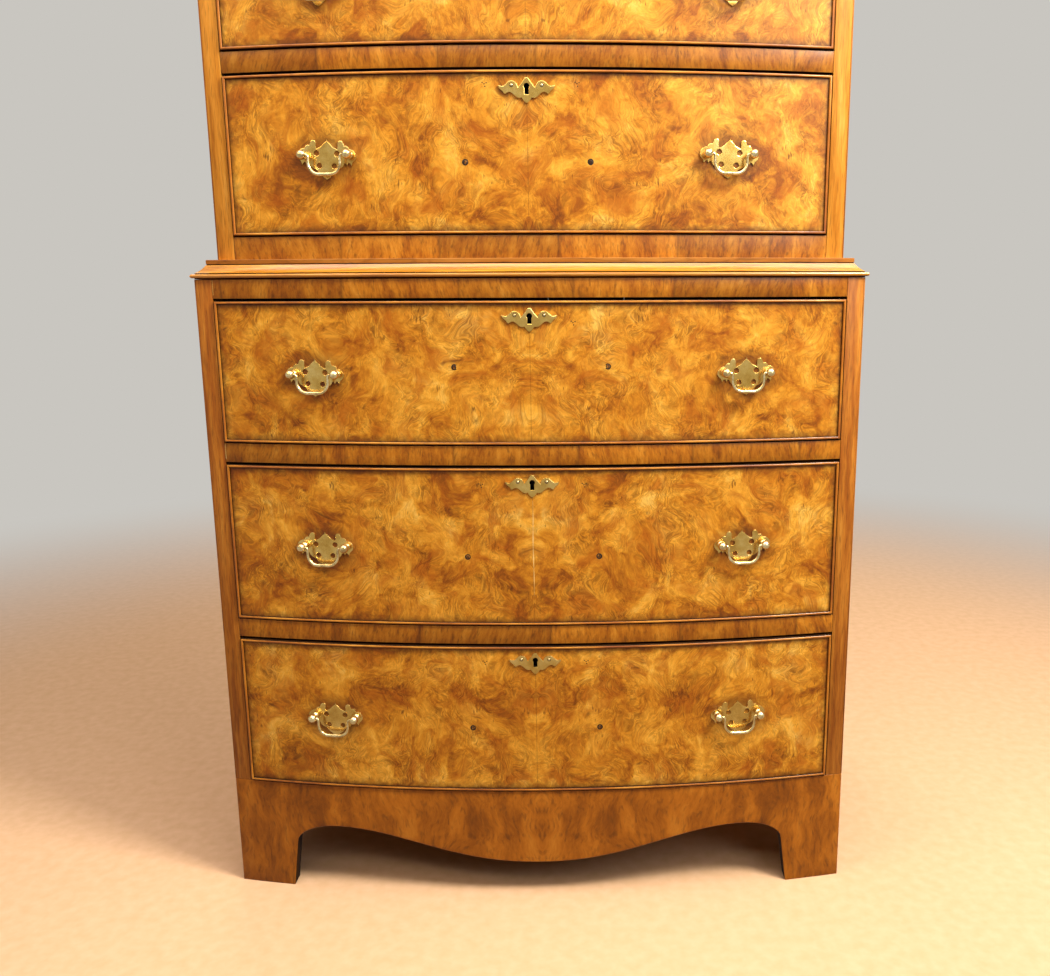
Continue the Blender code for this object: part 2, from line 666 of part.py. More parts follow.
# ------------------------------------------------------------------ the chest
def build():
    for old in list(bpy.data.objects):
        bpy.data.objects.remove(old, do_unlink=True)
    finishes = make_finishes()
    walnut = finishes["walnut"]
    pine = finishes["pine"]

    bracket_base(walnut)
    for sign, word in ((-1, "left"), (1, "right")):
        side_panel(f"lower_side_{word}", walnut, HALF, 0.0, BASE_HEIGHT + FIT, LOWER_TOP_Z, sign)
    back_panel("lower_back", pine, HALF, BASE_HEIGHT + FIT, LOWER_TOP_Z)
    bottom_board(pine)
    for number, (below, above) in enumerate(zip(LOWER_SPANS, LOWER_SPANS[1:]), 1):
        railed_board(f"lower_dust_board_{number}", walnut, HALF, 0.0,
                     below[1], above[0] - DUST_THICK, above[0])
    railed_board("lower_top_board", walnut, HALF, 0.0,
                 LOWER_SPANS[-1][1], LOWER_TOP_Z - BOARD_THICK, LOWER_TOP_Z)
    moulding("waist_moulding", walnut, HALF, 0.0, waist_profile())

    foot = LOWER_TOP_Z + FIT
    for sign, word in ((-1, "left"), (1, "right")):
        side_panel(f"upper_side_{word}", walnut, UPPER_HALF, STEP, foot, TOP_Z, sign)
    back_panel("upper_back", pine, UPPER_HALF, foot, TOP_Z)
    railed_board("upper_bottom_board", walnut, UPPER_HALF, STEP,
                 foot, UPPER_SPANS[0][0] - BOARD_THICK, UPPER_SPANS[0][0])
    for number, (below, above) in enumerate(zip(UPPER_SPANS, UPPER_SPANS[1:]), 1):
        railed_board(f"upper_dust_board_{number}", walnut, UPPER_HALF, STEP,
                     below[1], above[0] - DUST_THICK, above[0])
    railed_board("upper_top_board", walnut, UPPER_HALF, STEP,
                 UPPER_SPANS[-1][1], TOP_Z - BOARD_THICK, TOP_Z)
    moulding("cornice", walnut, UPPER_HALF, STEP, cornice_profile())

    for number, span in enumerate(LOWER_SPANS, 1):
        drawer(number, finishes, HALF, 0.0, span)
    for number, span in enumerate(UPPER_SPANS, len(LOWER_SPANS) + 1):
        drawer(number, finishes, UPPER_HALF, STEP, span)


build()
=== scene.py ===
# %% [markdown]
# # A bow-fronted chest on chest in burr walnut
#
# This chest is two cases of drawers, one standing on the other. The fronts are veneered with burr
# walnut, the rails between them with short pieces of walnut laid crosswise, and every drawer has a
# lock, a brass escutcheon and two brass pulls. The solid model comes first, as a frame that gives
# every size and place, and this script makes the surfaces round it. Nothing here changes a size.

# %% Load the solid model
import json
import math
from functools import partial

import bmesh
import bpy
from mathutils import Matrix, Vector


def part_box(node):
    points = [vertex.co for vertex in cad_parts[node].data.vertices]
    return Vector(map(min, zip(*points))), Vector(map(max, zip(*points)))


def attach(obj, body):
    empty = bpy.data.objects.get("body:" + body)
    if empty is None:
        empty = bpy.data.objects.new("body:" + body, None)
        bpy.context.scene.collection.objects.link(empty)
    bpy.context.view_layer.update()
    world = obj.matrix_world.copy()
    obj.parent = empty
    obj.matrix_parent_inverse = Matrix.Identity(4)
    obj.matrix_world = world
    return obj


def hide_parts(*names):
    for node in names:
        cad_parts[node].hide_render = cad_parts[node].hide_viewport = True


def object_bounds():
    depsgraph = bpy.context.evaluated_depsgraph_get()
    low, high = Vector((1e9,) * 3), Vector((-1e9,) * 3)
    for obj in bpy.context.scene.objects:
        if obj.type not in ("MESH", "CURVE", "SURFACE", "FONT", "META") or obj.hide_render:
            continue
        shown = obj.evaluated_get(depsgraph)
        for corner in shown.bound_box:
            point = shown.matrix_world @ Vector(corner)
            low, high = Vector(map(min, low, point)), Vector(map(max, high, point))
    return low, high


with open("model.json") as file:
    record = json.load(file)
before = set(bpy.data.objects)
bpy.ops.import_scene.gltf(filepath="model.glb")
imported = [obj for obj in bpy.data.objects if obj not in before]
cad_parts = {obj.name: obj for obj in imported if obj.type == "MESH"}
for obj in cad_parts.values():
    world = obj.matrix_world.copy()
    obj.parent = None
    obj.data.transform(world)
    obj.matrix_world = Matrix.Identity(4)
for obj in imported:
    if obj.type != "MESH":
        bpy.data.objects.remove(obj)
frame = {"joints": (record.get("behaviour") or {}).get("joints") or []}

CAD_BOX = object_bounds()

# %% [markdown]
# ## The bow
#
# Seen from above, the front is one shallow arc. All that is needed to draw it is the half width of
# the lower case and how far the middle stands in front of the corners. The upper case follows the
# same arc, set back by one step. A maker would saw every bowed part to one template, and here one
# formula does that work.

# %% Sizes read from the solid model
base_low, base_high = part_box("bracket_base")
HALF = base_high.x                                   # half the width of the lower case
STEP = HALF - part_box("upper_side_right")[1].x        # the upper case stands back by this much
BACK_Y = base_high.y
BOW = 0.041
CORNER_Y = base_low.y + BOW
ARC_RADIUS = (HALF ** 2 + BOW ** 2) / (2 * BOW)
SIDE_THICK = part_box("lower_side_right")[1].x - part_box("lower_side_right")[0].x
TOP_Z = CAD_BOX[1].z
GAP = 0.0003                                         # what touching pieces keep between them
print("case half width", round(HALF, 4), "arc radius", round(ARC_RADIUS, 3))


def bow_y(x, back=0.0):
    """The face of the bowed front at x, for a case that stands back by `back`."""
    return CORNER_Y + back - math.sqrt(ARC_RADIUS ** 2 - x * x) + ARC_RADIUS - BOW


# %% [markdown]
# ## Camera
#
# The camera stands a little over a metre in front of the chest, at the height of the third drawer,
# and looks slightly down. The small sideways shift does what a view camera's sliding back does: it
# moves the picture without turning the camera.

# %% Camera
CAMERA_AT = Vector((0.073, CORNER_Y - 1.179, 0.767))
TURN, TILT, ROLL = math.radians(0.53), math.radians(11.18), math.radians(-0.20)
LENS, SIDE_SHIFT = 33.12, -0.0733    # millimetres, and a share of the picture's width


def camera_axes(turn, tilt, roll):
    """Right, up and backward directions of a camera that looks along +Y before it turns."""
    ahead = Vector((math.sin(turn) * math.cos(tilt), math.cos(turn) * math.cos(tilt), -math.sin(tilt)))
    right = Vector((math.cos(turn), -math.sin(turn), 0.0))
    up = right.cross(ahead)
    rolled_right = right * math.cos(roll) + up * math.sin(roll)
    rolled_up = up * math.cos(roll) - right * math.sin(roll)
    return rolled_right, rolled_up, -ahead


camera = bpy.data.objects.new("camera", bpy.data.cameras.new("camera"))
bpy.context.scene.collection.objects.link(camera)
camera.data.lens = LENS
camera.data.shift_x = SIDE_SHIFT
axes = Matrix(camera_axes(TURN, TILT, ROLL)).transposed().to_4x4()
camera.matrix_world = Matrix.Translation(CAMERA_AT) @ axes
bpy.context.scene.camera = camera
bpy.context.scene.view_settings.view_transform = "Standard"
print("camera at", [round(v, 3) for v in CAMERA_AT])

# %% [markdown]
# ## Colour and nodes
#
# Colours are written as the hex values that a colour picker gives and turned into linear light by
# one function. One more function adds a node, sets it and links it, for materials and for geometry
# alike, so that each material below reads as a list of what it is made of. It takes Blender's name
# for a node without the word in front, so "Math" stands for ShaderNodeMath. Below, `add` is that
# function for the one tree that is being made.

# %% Colour helper


def srgb(text):
    """A hex colour such as "#c98637" as linear red, green, blue and alpha."""
    channels = [int(text[i:i + 2], 16) / 255 for i in (1, 3, 5)]
    linear = [c / 12.92 if c <= 0.04045 else ((c + 0.055) / 1.055) ** 2.4 for c in channels]
    return (*linear, 1.0)


print("mid walnut", [round(v, 3) for v in srgb("#c98637")])

# %% Node helper


def node(tree, kind, inputs=(), stops=None, **settings):
    """Add a node, set its properties and its colour ramp, and fill or link its inputs.

    The inputs are {socket: value}, or a tuple that fills the first sockets in order, or one value
    for the first socket. A node given as a value links its first output.
    """
    if not isinstance(inputs, dict):
        inputs = dict(enumerate(inputs if isinstance(inputs, tuple) else (inputs,)))
    words = ["ShaderNode"] if tree.type == "SHADER" else ["GeometryNode", "ShaderNode", "FunctionNode"]
    made = tree.nodes.new(next(word + kind for word in words if hasattr(bpy.types, word + kind)))
    for key, value in settings.items():
        setattr(made, key, value)
    for key, value in inputs.items():
        if isinstance(value, bpy.types.Node):
            value = next(socket for socket in value.outputs if socket.enabled)
        if isinstance(value, bpy.types.NodeSocket):
            tree.links.new(value, made.inputs[key])
        else:
            made.inputs[key].default_value = value
    for number, (at, colour) in enumerate((stops or {}).items()):
        stop = made.color_ramp.elements[number] if number < 2 else made.color_ramp.elements.new(1.0)
        stop.position = at
        stop.color = srgb(colour)
    return made


print("node helper ready")


# %% [markdown]
# ## Bending boards to the bow
#
# Every bowed piece is first made straight, with its face on the plane y = 0, and a Geometry Nodes
# tree then moves each point back by the arc. The veneer goes on in the same tree: whatever faces
# the room gets the show wood, and the rest keeps the plain wood under it.

# %% The bending tree


def new_tree(name, *sockets):
    """A Geometry Nodes tree with a geometry in and out and the named inputs, and what adds nodes."""
    tree = bpy.data.node_groups.new(name, "GeometryNodeTree")
    tree.interface.new_socket("Geometry", in_out="INPUT", socket_type="NodeSocketGeometry")
    for label, kind in sockets:
        tree.interface.new_socket(label, in_out="INPUT", socket_type="NodeSocket" + kind)
    tree.interface.new_socket("Geometry", in_out="OUTPUT", socket_type="NodeSocketGeometry")
    given, result = tree.nodes.new("NodeGroupInput").outputs, tree.nodes.new("NodeGroupOutput").inputs
    return tree, partial(node, tree), given, result


def make_bow_tree():
    """y becomes y + Front Y + R - sqrt(R * R - x * x)."""
    tree, add, given, result = new_tree("bend_to_bow", ("Arc Radius", "Float"), ("Front Y", "Float"),
        ("Core", "Material"), ("Veneer", "Material"), ("Edge", "Material"))
    place = add("InputPosition")
    x = add("SeparateXYZ", place).outputs["X"]
    radius = given["Arc Radius"]
    radius_squared = add("Math", (radius, radius), operation="MULTIPLY")
    x_squared = add("Math", (x, x), operation="MULTIPLY")
    inside = add("Math", (radius_squared, x_squared), operation="SUBTRACT")
    root = add("Math", inside, operation="SQRT")
    sagitta = add("Math", (radius, root), operation="SUBTRACT")
    back = add("Math", (given["Front Y"], sagitta), operation="ADD")
    shift = add("CombineXYZ", {"Y": back})
    bent = add("SetPosition", {"Geometry": given["Geometry"], "Offset": shift})
    whole = add("RealizeInstances", bent)
    core = add("SetMaterial", {"Geometry": whole, "Material": given["Core"]})
    facing = add("SeparateXYZ", add("InputNormal"))
    not_back = add("Math", (facing.outputs["Y"], 0.5), operation="LESS_THAN")
    # the edges take the third material, which on the rails, the beads and the base front is painted shade
    edges = add("SetMaterial", (core, not_back, given["Edge"]))
    outside = add("Math", (facing.outputs["Y"], -0.6), operation="LESS_THAN")
    veneer = add("SetMaterial", (edges, outside, given["Veneer"]))
    tree.links.new(veneer.outputs[0], result["Geometry"])
    return tree


BOW_TREE = make_bow_tree()
print("bending tree has", len(BOW_TREE.nodes), "nodes")

# %% [markdown]
# A tree's result is live until it is turned into a plain mesh. The next helpers put a mesh in the
# scene, run a tree on it and keep what comes out. The last ones hand a finished piece over to the
# body that it moves with.

# %% Objects, trees and finished pieces


def new_object(name, mesh, *materials):
    """Put a mesh or a curve in the scene."""
    obj = bpy.data.objects.new(name, mesh)
    bpy.context.scene.collection.objects.link(obj)
    for material in materials:
        mesh.materials.append(material)
    return obj


def add_tree(obj, tree, **values):
    """Put a Geometry Nodes modifier on obj and set the tree's inputs by their identifiers."""
    modifier = obj.modifiers.new(tree.name, "NODES")
    modifier.node_group = tree
    for item in tree.interface.items_tree:
        key = item.name.replace(" ", "_").lower()
        if item.in_out == "INPUT" and key in values:
            modifier[item.identifier] = values[key]
    return obj


def mesh_of(bm, name):
    mesh = bpy.data.meshes.new(name)
    bm.to_mesh(mesh)
    bm.free()
    return mesh


def plain_mesh(obj):
    """What obj looks like with its modifiers applied."""
    graph = bpy.context.evaluated_depsgraph_get()
    return bpy.data.meshes.new_from_object(obj.evaluated_get(graph), depsgraph=graph)


def settle(obj):
    """Turn obj's modifiers into a plain mesh."""
    obj.data = plain_mesh(obj)
    obj.modifiers.clear()
    obj.data.name = obj.name
    return obj


def shade(obj, sharp_degrees=35):
    """Smooth shading, with an edge wherever faces meet at more than this angle."""
    obj.data.shade_smooth()
    obj.data.set_sharp_from_angle(angle=math.radians(sharp_degrees))
    return obj


def hand_over(obj, body, slot, *nodes):
    """Let a finished piece ride on its body and stand for solid nodes, which it hides. The slot is not used.
    """
    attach(obj, body)
    if nodes:
        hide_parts(*nodes)


def hand_over_shape(bm, name, materials, body, slot, *nodes, sharp_degrees=35):
    """Make a piece of the shape in bm, shade it and hand it over."""
    piece = new_object(name, mesh_of(bm, name), *materials)
    hand_over(shade(piece, sharp_degrees), body, slot, *nodes)


def hand_over_bent(bm, name, back, woods, body, slot, *nodes):
    """Bend a straight shape to the bow of the case that stands back by `back`, and hand it over."""
    core, veneer, edge = woods
    piece = add_tree(new_object(name, mesh_of(bm, name)), BOW_TREE, arc_radius=ARC_RADIUS,
        front_y=CORNER_Y - BOW + back, core=core, veneer=veneer, edge=edge)
    hand_over(shade(settle(piece)), body, slot, *nodes)


print("helpers for objects ready")

# %% [markdown]
# ## Boards
#
# Nearly everything here is a board, and a real board has slightly rounded edges, its arrises,
# which catch the light. A beveled block gives that, and a thin slice every few centimetres lets it
# bend. Each board also carries a number of its own on its points, so that the wood patterns below
# can shift from one board to the next, as they do when boards come from different trees.

# %% Block and deck helpers
SLICE = 0.025                    # a bowed board bends at slices this far apart
ARRIS = 0.0007                   # radius of an edge that was broken with fine paper
board_numbers = iter(range(1, 2000))


def board_layer(bm):
    """The layer of board numbers, made before any point is added, because a new layer moves them."""
    return bm.verts.layers.float.get("board") or bm.verts.layers.float.new("board")


def number_board(bm, verts):
    """Give the points of one board a number that no other board has."""
    number = next(board_numbers)
    for vert in verts:
        vert[board_layer(bm)] = number


def add_block(bm, low, high, arris=ARRIS, segments=2):
    """Add a block with rounded edges to bm."""
    board_layer(bm)
    fresh = bmesh.new()
    board_layer(fresh)
    bmesh.ops.create_cube(fresh, size=1.0)
    for vert in fresh.verts:
        vert.co = Vector([(a + b) / 2 + (b - a) * c for a, b, c in zip(low, high, vert.co)])
    if arris:
        bmesh.ops.bevel(fresh, geom=fresh.edges[:], offset=arris, segments=segments, profile=0.5,
            affect="EDGES")
    number_board(fresh, fresh.verts)
    mesh = bpy.data.meshes.new("block")
    fresh.to_mesh(mesh)
    fresh.free()
    bm.from_mesh(mesh)
    bpy.data.meshes.remove(mesh)


def everything(bm):
    return bm.verts[:] + bm.edges[:] + bm.faces[:]


def slice_bm(bm, axis, places):
    """Cut every face at the given places along an axis, without parting anything."""
    normal = Vector((axis == "X", axis == "Y", axis == "Z"))
    for at in places:
        bmesh.ops.bisect_plane(bm, geom=everything(bm), plane_co=normal * at, plane_no=normal)


def spread(start, end, count):
    """Evenly spaced numbers from start to end, in `count` steps."""
    return [start + (end - start) * k / count for k in range(count + 1)]


def stations(half):
    """The places where a bowed board bends, from end to end."""
    return spread(-half, half, math.ceil(2 * half / SLICE))


def slice_for_bow(bm, half):
    slice_bm(bm, "X", stations(half)[1:-1])


def move(bm, matrix):
    bmesh.ops.transform(bm, matrix=matrix, verts=bm.verts)


def loft(bm, rings, closed=False):
    """Skin rings of points that match one to one, and cap the ends of an open loft."""
    board_layer(bm)
    loops = [[bm.verts.new(point) for point in ring] for ring in rings]
    number_board(bm, [vert for loop in loops for vert in loop])
    count = len(loops[0])
    for first, second in zip(loops, loops[1:] + (loops[:1] if closed else [])):
        for i in range(count):
            j = (i + 1) % count
            bm.faces.new((first[i], first[j], second[j], second[i]))
    if not closed:
        bm.faces.new(loops[0])
        bm.faces.new(loops[-1])
    bmesh.ops.recalc_face_normals(bm, faces=bm.faces)
    return bm


def make_deck(half, back, inset, end, low, high, start=None):
    """A flat board between the sides. Its front edge lies `inset` behind the bowed face."""
    rings = []
    for x in stations(half):
        front = bow_y(x, back) + inset if start is None else start
        rings.append([(x, front, low), (x, end, low), (x, end, high), (x, front, high)])
    return loft(bmesh.new(), rings)


print("a lower rail bends at", len(stations(HALF - SIDE_THICK)), "places")

# %% [markdown]
# ## Studio
#
# The floor is one large pale sheet that fades into the backdrop colour with distance, so no horizon
# shows. The backdrop is the world itself, but only for the camera and for reflections, while a
# dimmer, even colour lights the chest. Reflections see the floor half faded everywhere, because a
# floor in its full colour would turn the low brass orange, and for the same reason the light that
# it throws back is toned down. Soft lamps do the rest: two from the right, a weaker warm one from
# the upper left, a long one high in front that shines on the brass, a wide one overhead that draws
# the bright lines on the mouldings, and one behind that lights the floor round the chest.

# %% Floor and backdrop
BACKDROP = "#c9c6c0"
FADE_FROM, FADE_TO = 1.1, 2.8    # metres from the chest between which the floor fades
FLOOR_REACH = 15.0


def empty_material(name):
    """A material without nodes, and the function that adds nodes to it."""
    material = bpy.data.materials.new(name)
    material.use_nodes = True
    material.node_tree.nodes.clear()
    return material, partial(node, material.node_tree)


def make_floor():
    material, add = empty_material("pale_floor")
    place = add("TexCoord").outputs["Object"]
    far = add("VectorMath", place, operation="LENGTH")
    fade = add("MapRange", (far, FADE_FROM, FADE_TO), interpolation_type="SMOOTHSTEP")
    pile = add("TexNoise", {"Vector": place, "Scale": 60.0, "Detail": 4.0})
    tone = add("ValToRGB", pile, stops={0.3: "#e0b38a", 0.7: "#e9bd96"})
    glow = add("Emission", (srgb(BACKDROP), 1.0))
    rays = add("LightPath")
    camera_ray, glossy_ray = rays.outputs["Is Camera Ray"], rays.outputs["Is Glossy Ray"]
    seen = add("Math", (camera_ray, glossy_ray), operation="MAXIMUM")
    quiet = add("Mix", {0: camera_ray, 6: srgb("#94785a"), 7: tone}, data_type="RGBA")
    cloth = add("BsdfDiffuse", quiet)
    faded = add("Math", (fade, seen), operation="MULTIPLY")
    sheen = add("Math", (glossy_ray, 0.5, faded), operation="MULTIPLY_ADD", use_clamp=True)
    mixed = add("MixShader", (sheen, cloth, glow))
    add("OutputMaterial", mixed)
    bm = bmesh.new()
    bmesh.ops.create_grid(bm, x_segments=1, y_segments=1, size=FLOOR_REACH)
    new_object("floor", mesh_of(bm, "floor"), material)


def make_world():
    world = bpy.context.scene.world = bpy.data.worlds.new("studio")
    world.use_nodes = True
    world.node_tree.nodes.clear()
    add = partial(node, world.node_tree)
    rays = add("LightPath")
    seen = add("Math", (rays.outputs["Is Camera Ray"], rays.outputs["Is Glossy Ray"]), operation="MAXIMUM")
    dim = add("Background", (srgb("#f6e2c4"), 0.13))
    shown = add("Background", (srgb(BACKDROP), 1.0))
    mixed = add("MixShader", (seen, dim, shown))
    add("OutputWorld", mixed)


make_floor()
make_world()
print("floor fades between", FADE_FROM, "and", FADE_TO, "m")

# %% Lamps
LAMPS = {                        # place, what it looks at, width, height, watts, colour, beam
    "key_right": ((1.40, -1.05, 2.25), (0.0, -0.2, 1.05), 0.6, 0.6, 76.0, "#fffdf0", 180),
    "window_right": ((1.35, -2.10, 1.85), (0.2, -0.2, 1.1), 1.0, 1.0, 14.0, "#ffffff", 180),
    "fill_left": ((-1.9, -1.2, 2.5), (-0.2, 0.0, 1.45), 1.0, 1.0, 3.4, "#ffd9a8", 70),
    "front_above": ((-0.35, -2.35, 2.65), (0.0, -0.2, 1.35), 1.6, 0.5, 2.8, "#fff4e0", 62),
    "overhead": ((0.1, -0.60, 2.5), (0.1, -0.55, 0.0), 2.6, 1.5, 48.0, "#ffffff", 180),
    "behind": ((-0.8, 2.4, 2.2), (0.0, 0.2, 0.7), 1.6, 1.6, 30.0, "#ffffff", 180),
}


def add_lamp(name, at, towards, width, height, watts, colour, beam):
    lamp = bpy.data.lights.new(name, "AREA")
    lamp.shape = "RECTANGLE"
    lamp.size = width
    lamp.size_y = height
    lamp.energy = watts
    lamp.color = srgb(colour)[:3]
    lamp.spread = math.radians(beam)
    obj = bpy.data.objects.new(name, lamp)
    bpy.context.scene.collection.objects.link(obj)
    aim = (Vector(towards) - Vector(at)).to_track_quat("-Z", "Y")
    obj.matrix_world = Matrix.Translation(at) @ aim.to_matrix().to_4x4()


for lamp_name, numbers in LAMPS.items():
    add_lamp(lamp_name, *numbers)
print(len(LAMPS), "lamps")

# %% [markdown]
# ## Finishes
#
# Almost every surface is wood under shellac polish. All of them share one ending: the colour, a
# little bump from the pores, and a polish that is shiny but not a mirror. What differs is the figure,
# which depends on how the wood was cut, so each way of cutting is a material of its own.

# %% Starting and ending a material


def start_material(name):
    """An empty material, what adds its nodes, and the shaded point's place, plain and by board."""
    material, add = empty_material(name)
    place = add("TexCoord").outputs["Object"]
    number = add("Attribute", attribute_name="board").outputs["Fac"]
    jump = add("VectorMath", {0: (0.137, 0.411, 0.293), "Scale": number}, operation="SCALE")
    shifted = add("VectorMath", (place, jump), operation="ADD")
    return material, add, place, shifted


def end_material(add, colour, height, roughness, relief, coat=0.0, metallic=0.0, gloss=0.5):
    """Colour and surface height go into one Principled shader; relief is in metres."""
    bump = add("Bump", {"Height": height, "Distance": relief, "Strength": 1.0})
    shader = add("BsdfPrincipled", {"Base Color": colour, "Normal": bump, "Roughness": roughness,
        "Metallic": metallic, "Specular IOR Level": gloss, "Coat Weight": coat, "Coat Roughness": 0.16})
    add("OutputMaterial", shader)


print("finish helpers ready")

# %% [markdown]
# Burr walnut is cut from a knotty swelling on the trunk. The fibres run round hundreds of buds, so
# there is no straight grain: golden hair-like fibres curl among brown clouds, with small dark eyes
# and short cracks. Two mirrored leaves meet in the middle of each drawer. The trick is to push the
# place about with soft noises first, and then to look up a finely streaked noise at the pushed
# place, which bends its streaks into curls. Taking the size of x instead of x makes the mirror.

# %% Burr walnut


def push(add, place, scale, reach, detail=2.0, by=None):
    """Push a place about by a soft noise of `scale` lumps a metre, by up to about `reach` metres."""
    noise = add("TexNoise", {"Vector": by or place, "Scale": scale, "Detail": detail})
    centred = add("VectorMath", (noise.outputs["Color"], (0.5, 0.5, 0.5)), operation="SUBTRACT")
    step = add("VectorMath", {0: centred, "Scale": 2 * reach}, operation="SCALE")
    return add("VectorMath", (place, step), operation="ADD")


def make_burr_walnut():
    material, add, place, _ = start_material("burr_walnut_veneer")
    parts = add("SeparateXYZ", place)
    mirrored = add("Math", parts.outputs["X"], operation="ABSOLUTE")
    leaf = add("CombineXYZ", {"X": mirrored, "Z": parts.outputs["Z"]})
    uneven = push(add, leaf, 8.0, 0.035, by=place)
    flow = push(add, push(add, push(add, uneven, 12.0, 0.045), 38.0, 0.019), 95.0, 0.0045)
    # clouds 15 to 50 mm across, from brown to gold
    clouds = add("TexNoise", {"Vector": push(add, uneven, 34.0, 0.022), "Scale": 17.0, "Detail": 9.0,
        "Roughness": 0.70})
    ground = add("ValToRGB", clouds, stops={0.29: "#703708", 0.39: "#a45b0f", 0.47: "#d08720",
        0.57: "#eca93a", 0.72: "#f9ca66"})
    # orange patches that follow the curls
    warmth = add("TexNoise", {"Vector": flow, "Scale": 32.0, "Detail": 5.0})
    warm = add("MapRange", (warmth, 0.46, 0.66, 0.0, 0.68))
    tinted = add("Mix", {0: warm, 6: ground, 7: srgb("#ae5a0e")}, data_type="RGBA")
    # curling fibres, drawn 2 to 3 mm wide so that they show, strong in some patches and faint in others
    stretched = add("Mapping", {"Vector": flow, "Scale": (360.0, 1.0, 100.0)})
    fibre = add("TexNoise", {"Vector": stretched, "Scale": 1.0, "Detail": 5.0, "Roughness": 0.74})
    hair = add("ValToRGB", fibre, stops={0.34: "#85786a", 0.48: "#cdc6ba", 0.57: "#ffffff"})
    patchy = add("TexNoise", {"Vector": uneven, "Scale": 30.0, "Detail": 3.0})
    strength = add("MapRange", (patchy, 0.40, 0.62, 0.30, 0.90))
    combed = add("Mix", {0: strength, 6: tinted, 7: hair}, data_type="RGBA", blend_type="MULTIPLY")
    # dark eyes and short upright cracks
    eyes = add("TexVoronoi", {"Vector": flow, "Scale": 42.0})
    rare = add("SeparateColor", eyes.outputs["Color"])
    chosen = add("Math", (rare.outputs[0], 0.93), operation="GREATER_THAN")
    pupil = add("MapRange", (eyes, 0.06, 0.22, 0.7, 0.0))
    eye = add("Math", (chosen, pupil), operation="MULTIPLY")
    upright = add("Mapping", {"Vector": push(add, leaf, 30.0, 0.004), "Scale": (520.0, 1.0, 120.0)})
    crack = add("TexNoise", {"Vector": upright, "Scale": 1.0, "Detail": 1.0})
    where = add("TexNoise", {"Vector": leaf, "Scale": 34.0, "Detail": 2.0})
    both = add("Math", (crack, where), operation="ADD")
    dash = add("MapRange", (both, 1.24, 1.38, 0.0, 0.75))
    marks = add("Math", (eye, dash), operation="MAXIMUM")
    # the hairline where the two leaves meet
    seam = add("MapRange", (mirrored, 0.0002, 0.0007, 0.40, 0.0))
    marked = add("Math", (marks, seam), operation="MAXIMUM")
    darkened = add("Mix", {0: marked, 6: combed, 7: srgb("#5a2f0b")}, data_type="RGBA")
    # old polish gathers along the bead, and painted shade from the bead darkens the same strip
    rim = add("Attribute", attribute_name="rim")
    ragged = add("TexNoise", {"Vector": leaf, "Scale": 140.0, "Detail": 3.0})
    nearness = add("Math", (rim.outputs["Fac"], 0.5), operation="POWER")
    ragged_rim = add("Math", (ragged, nearness), operation="ADD")
    grime_and_painted_shade = add("MapRange", (ragged_rim, 0.50, 1.28, 0.94, 0.0))
    # and grime with a painted shadow round the pulls, whose places are numbers on the points of the face
    pull_x = add("Attribute", attribute_name="pull_x")
    pull_z = add("Attribute", attribute_name="pull_z")
    aside = add("Math", (mirrored, pull_x.outputs["Fac"]), operation="SUBTRACT")
    above = add("Math", (parts.outputs["Z"], pull_z.outputs["Fac"]), operation="SUBTRACT")
    offset = add("CombineXYZ", {"X": aside, "Z": above})
    oval = add("VectorMath", (offset, (1.0, 1.0, 1.35)), operation="MULTIPLY")
    reach = add("VectorMath", oval, operation="LENGTH")
    pull_grime_and_shadow = add("MapRange", (reach, 0.026, 0.046, 0.62, 0.0))
    grime_and_painted_shade = add("Math", (grime_and_painted_shade, pull_grime_and_shadow), operation="MAXIMUM")
    final = add("Mix", {0: grime_and_painted_shade, 6: darkened, 7: srgb("#52290a")}, data_type="RGBA")
    end_material(add, final, fibre, 0.38, 0.00008, gloss=0.32)
    return material


BURR_WALNUT = make_burr_walnut()
print("burr walnut uses", len(BURR_WALNUT.node_tree.nodes), "nodes")
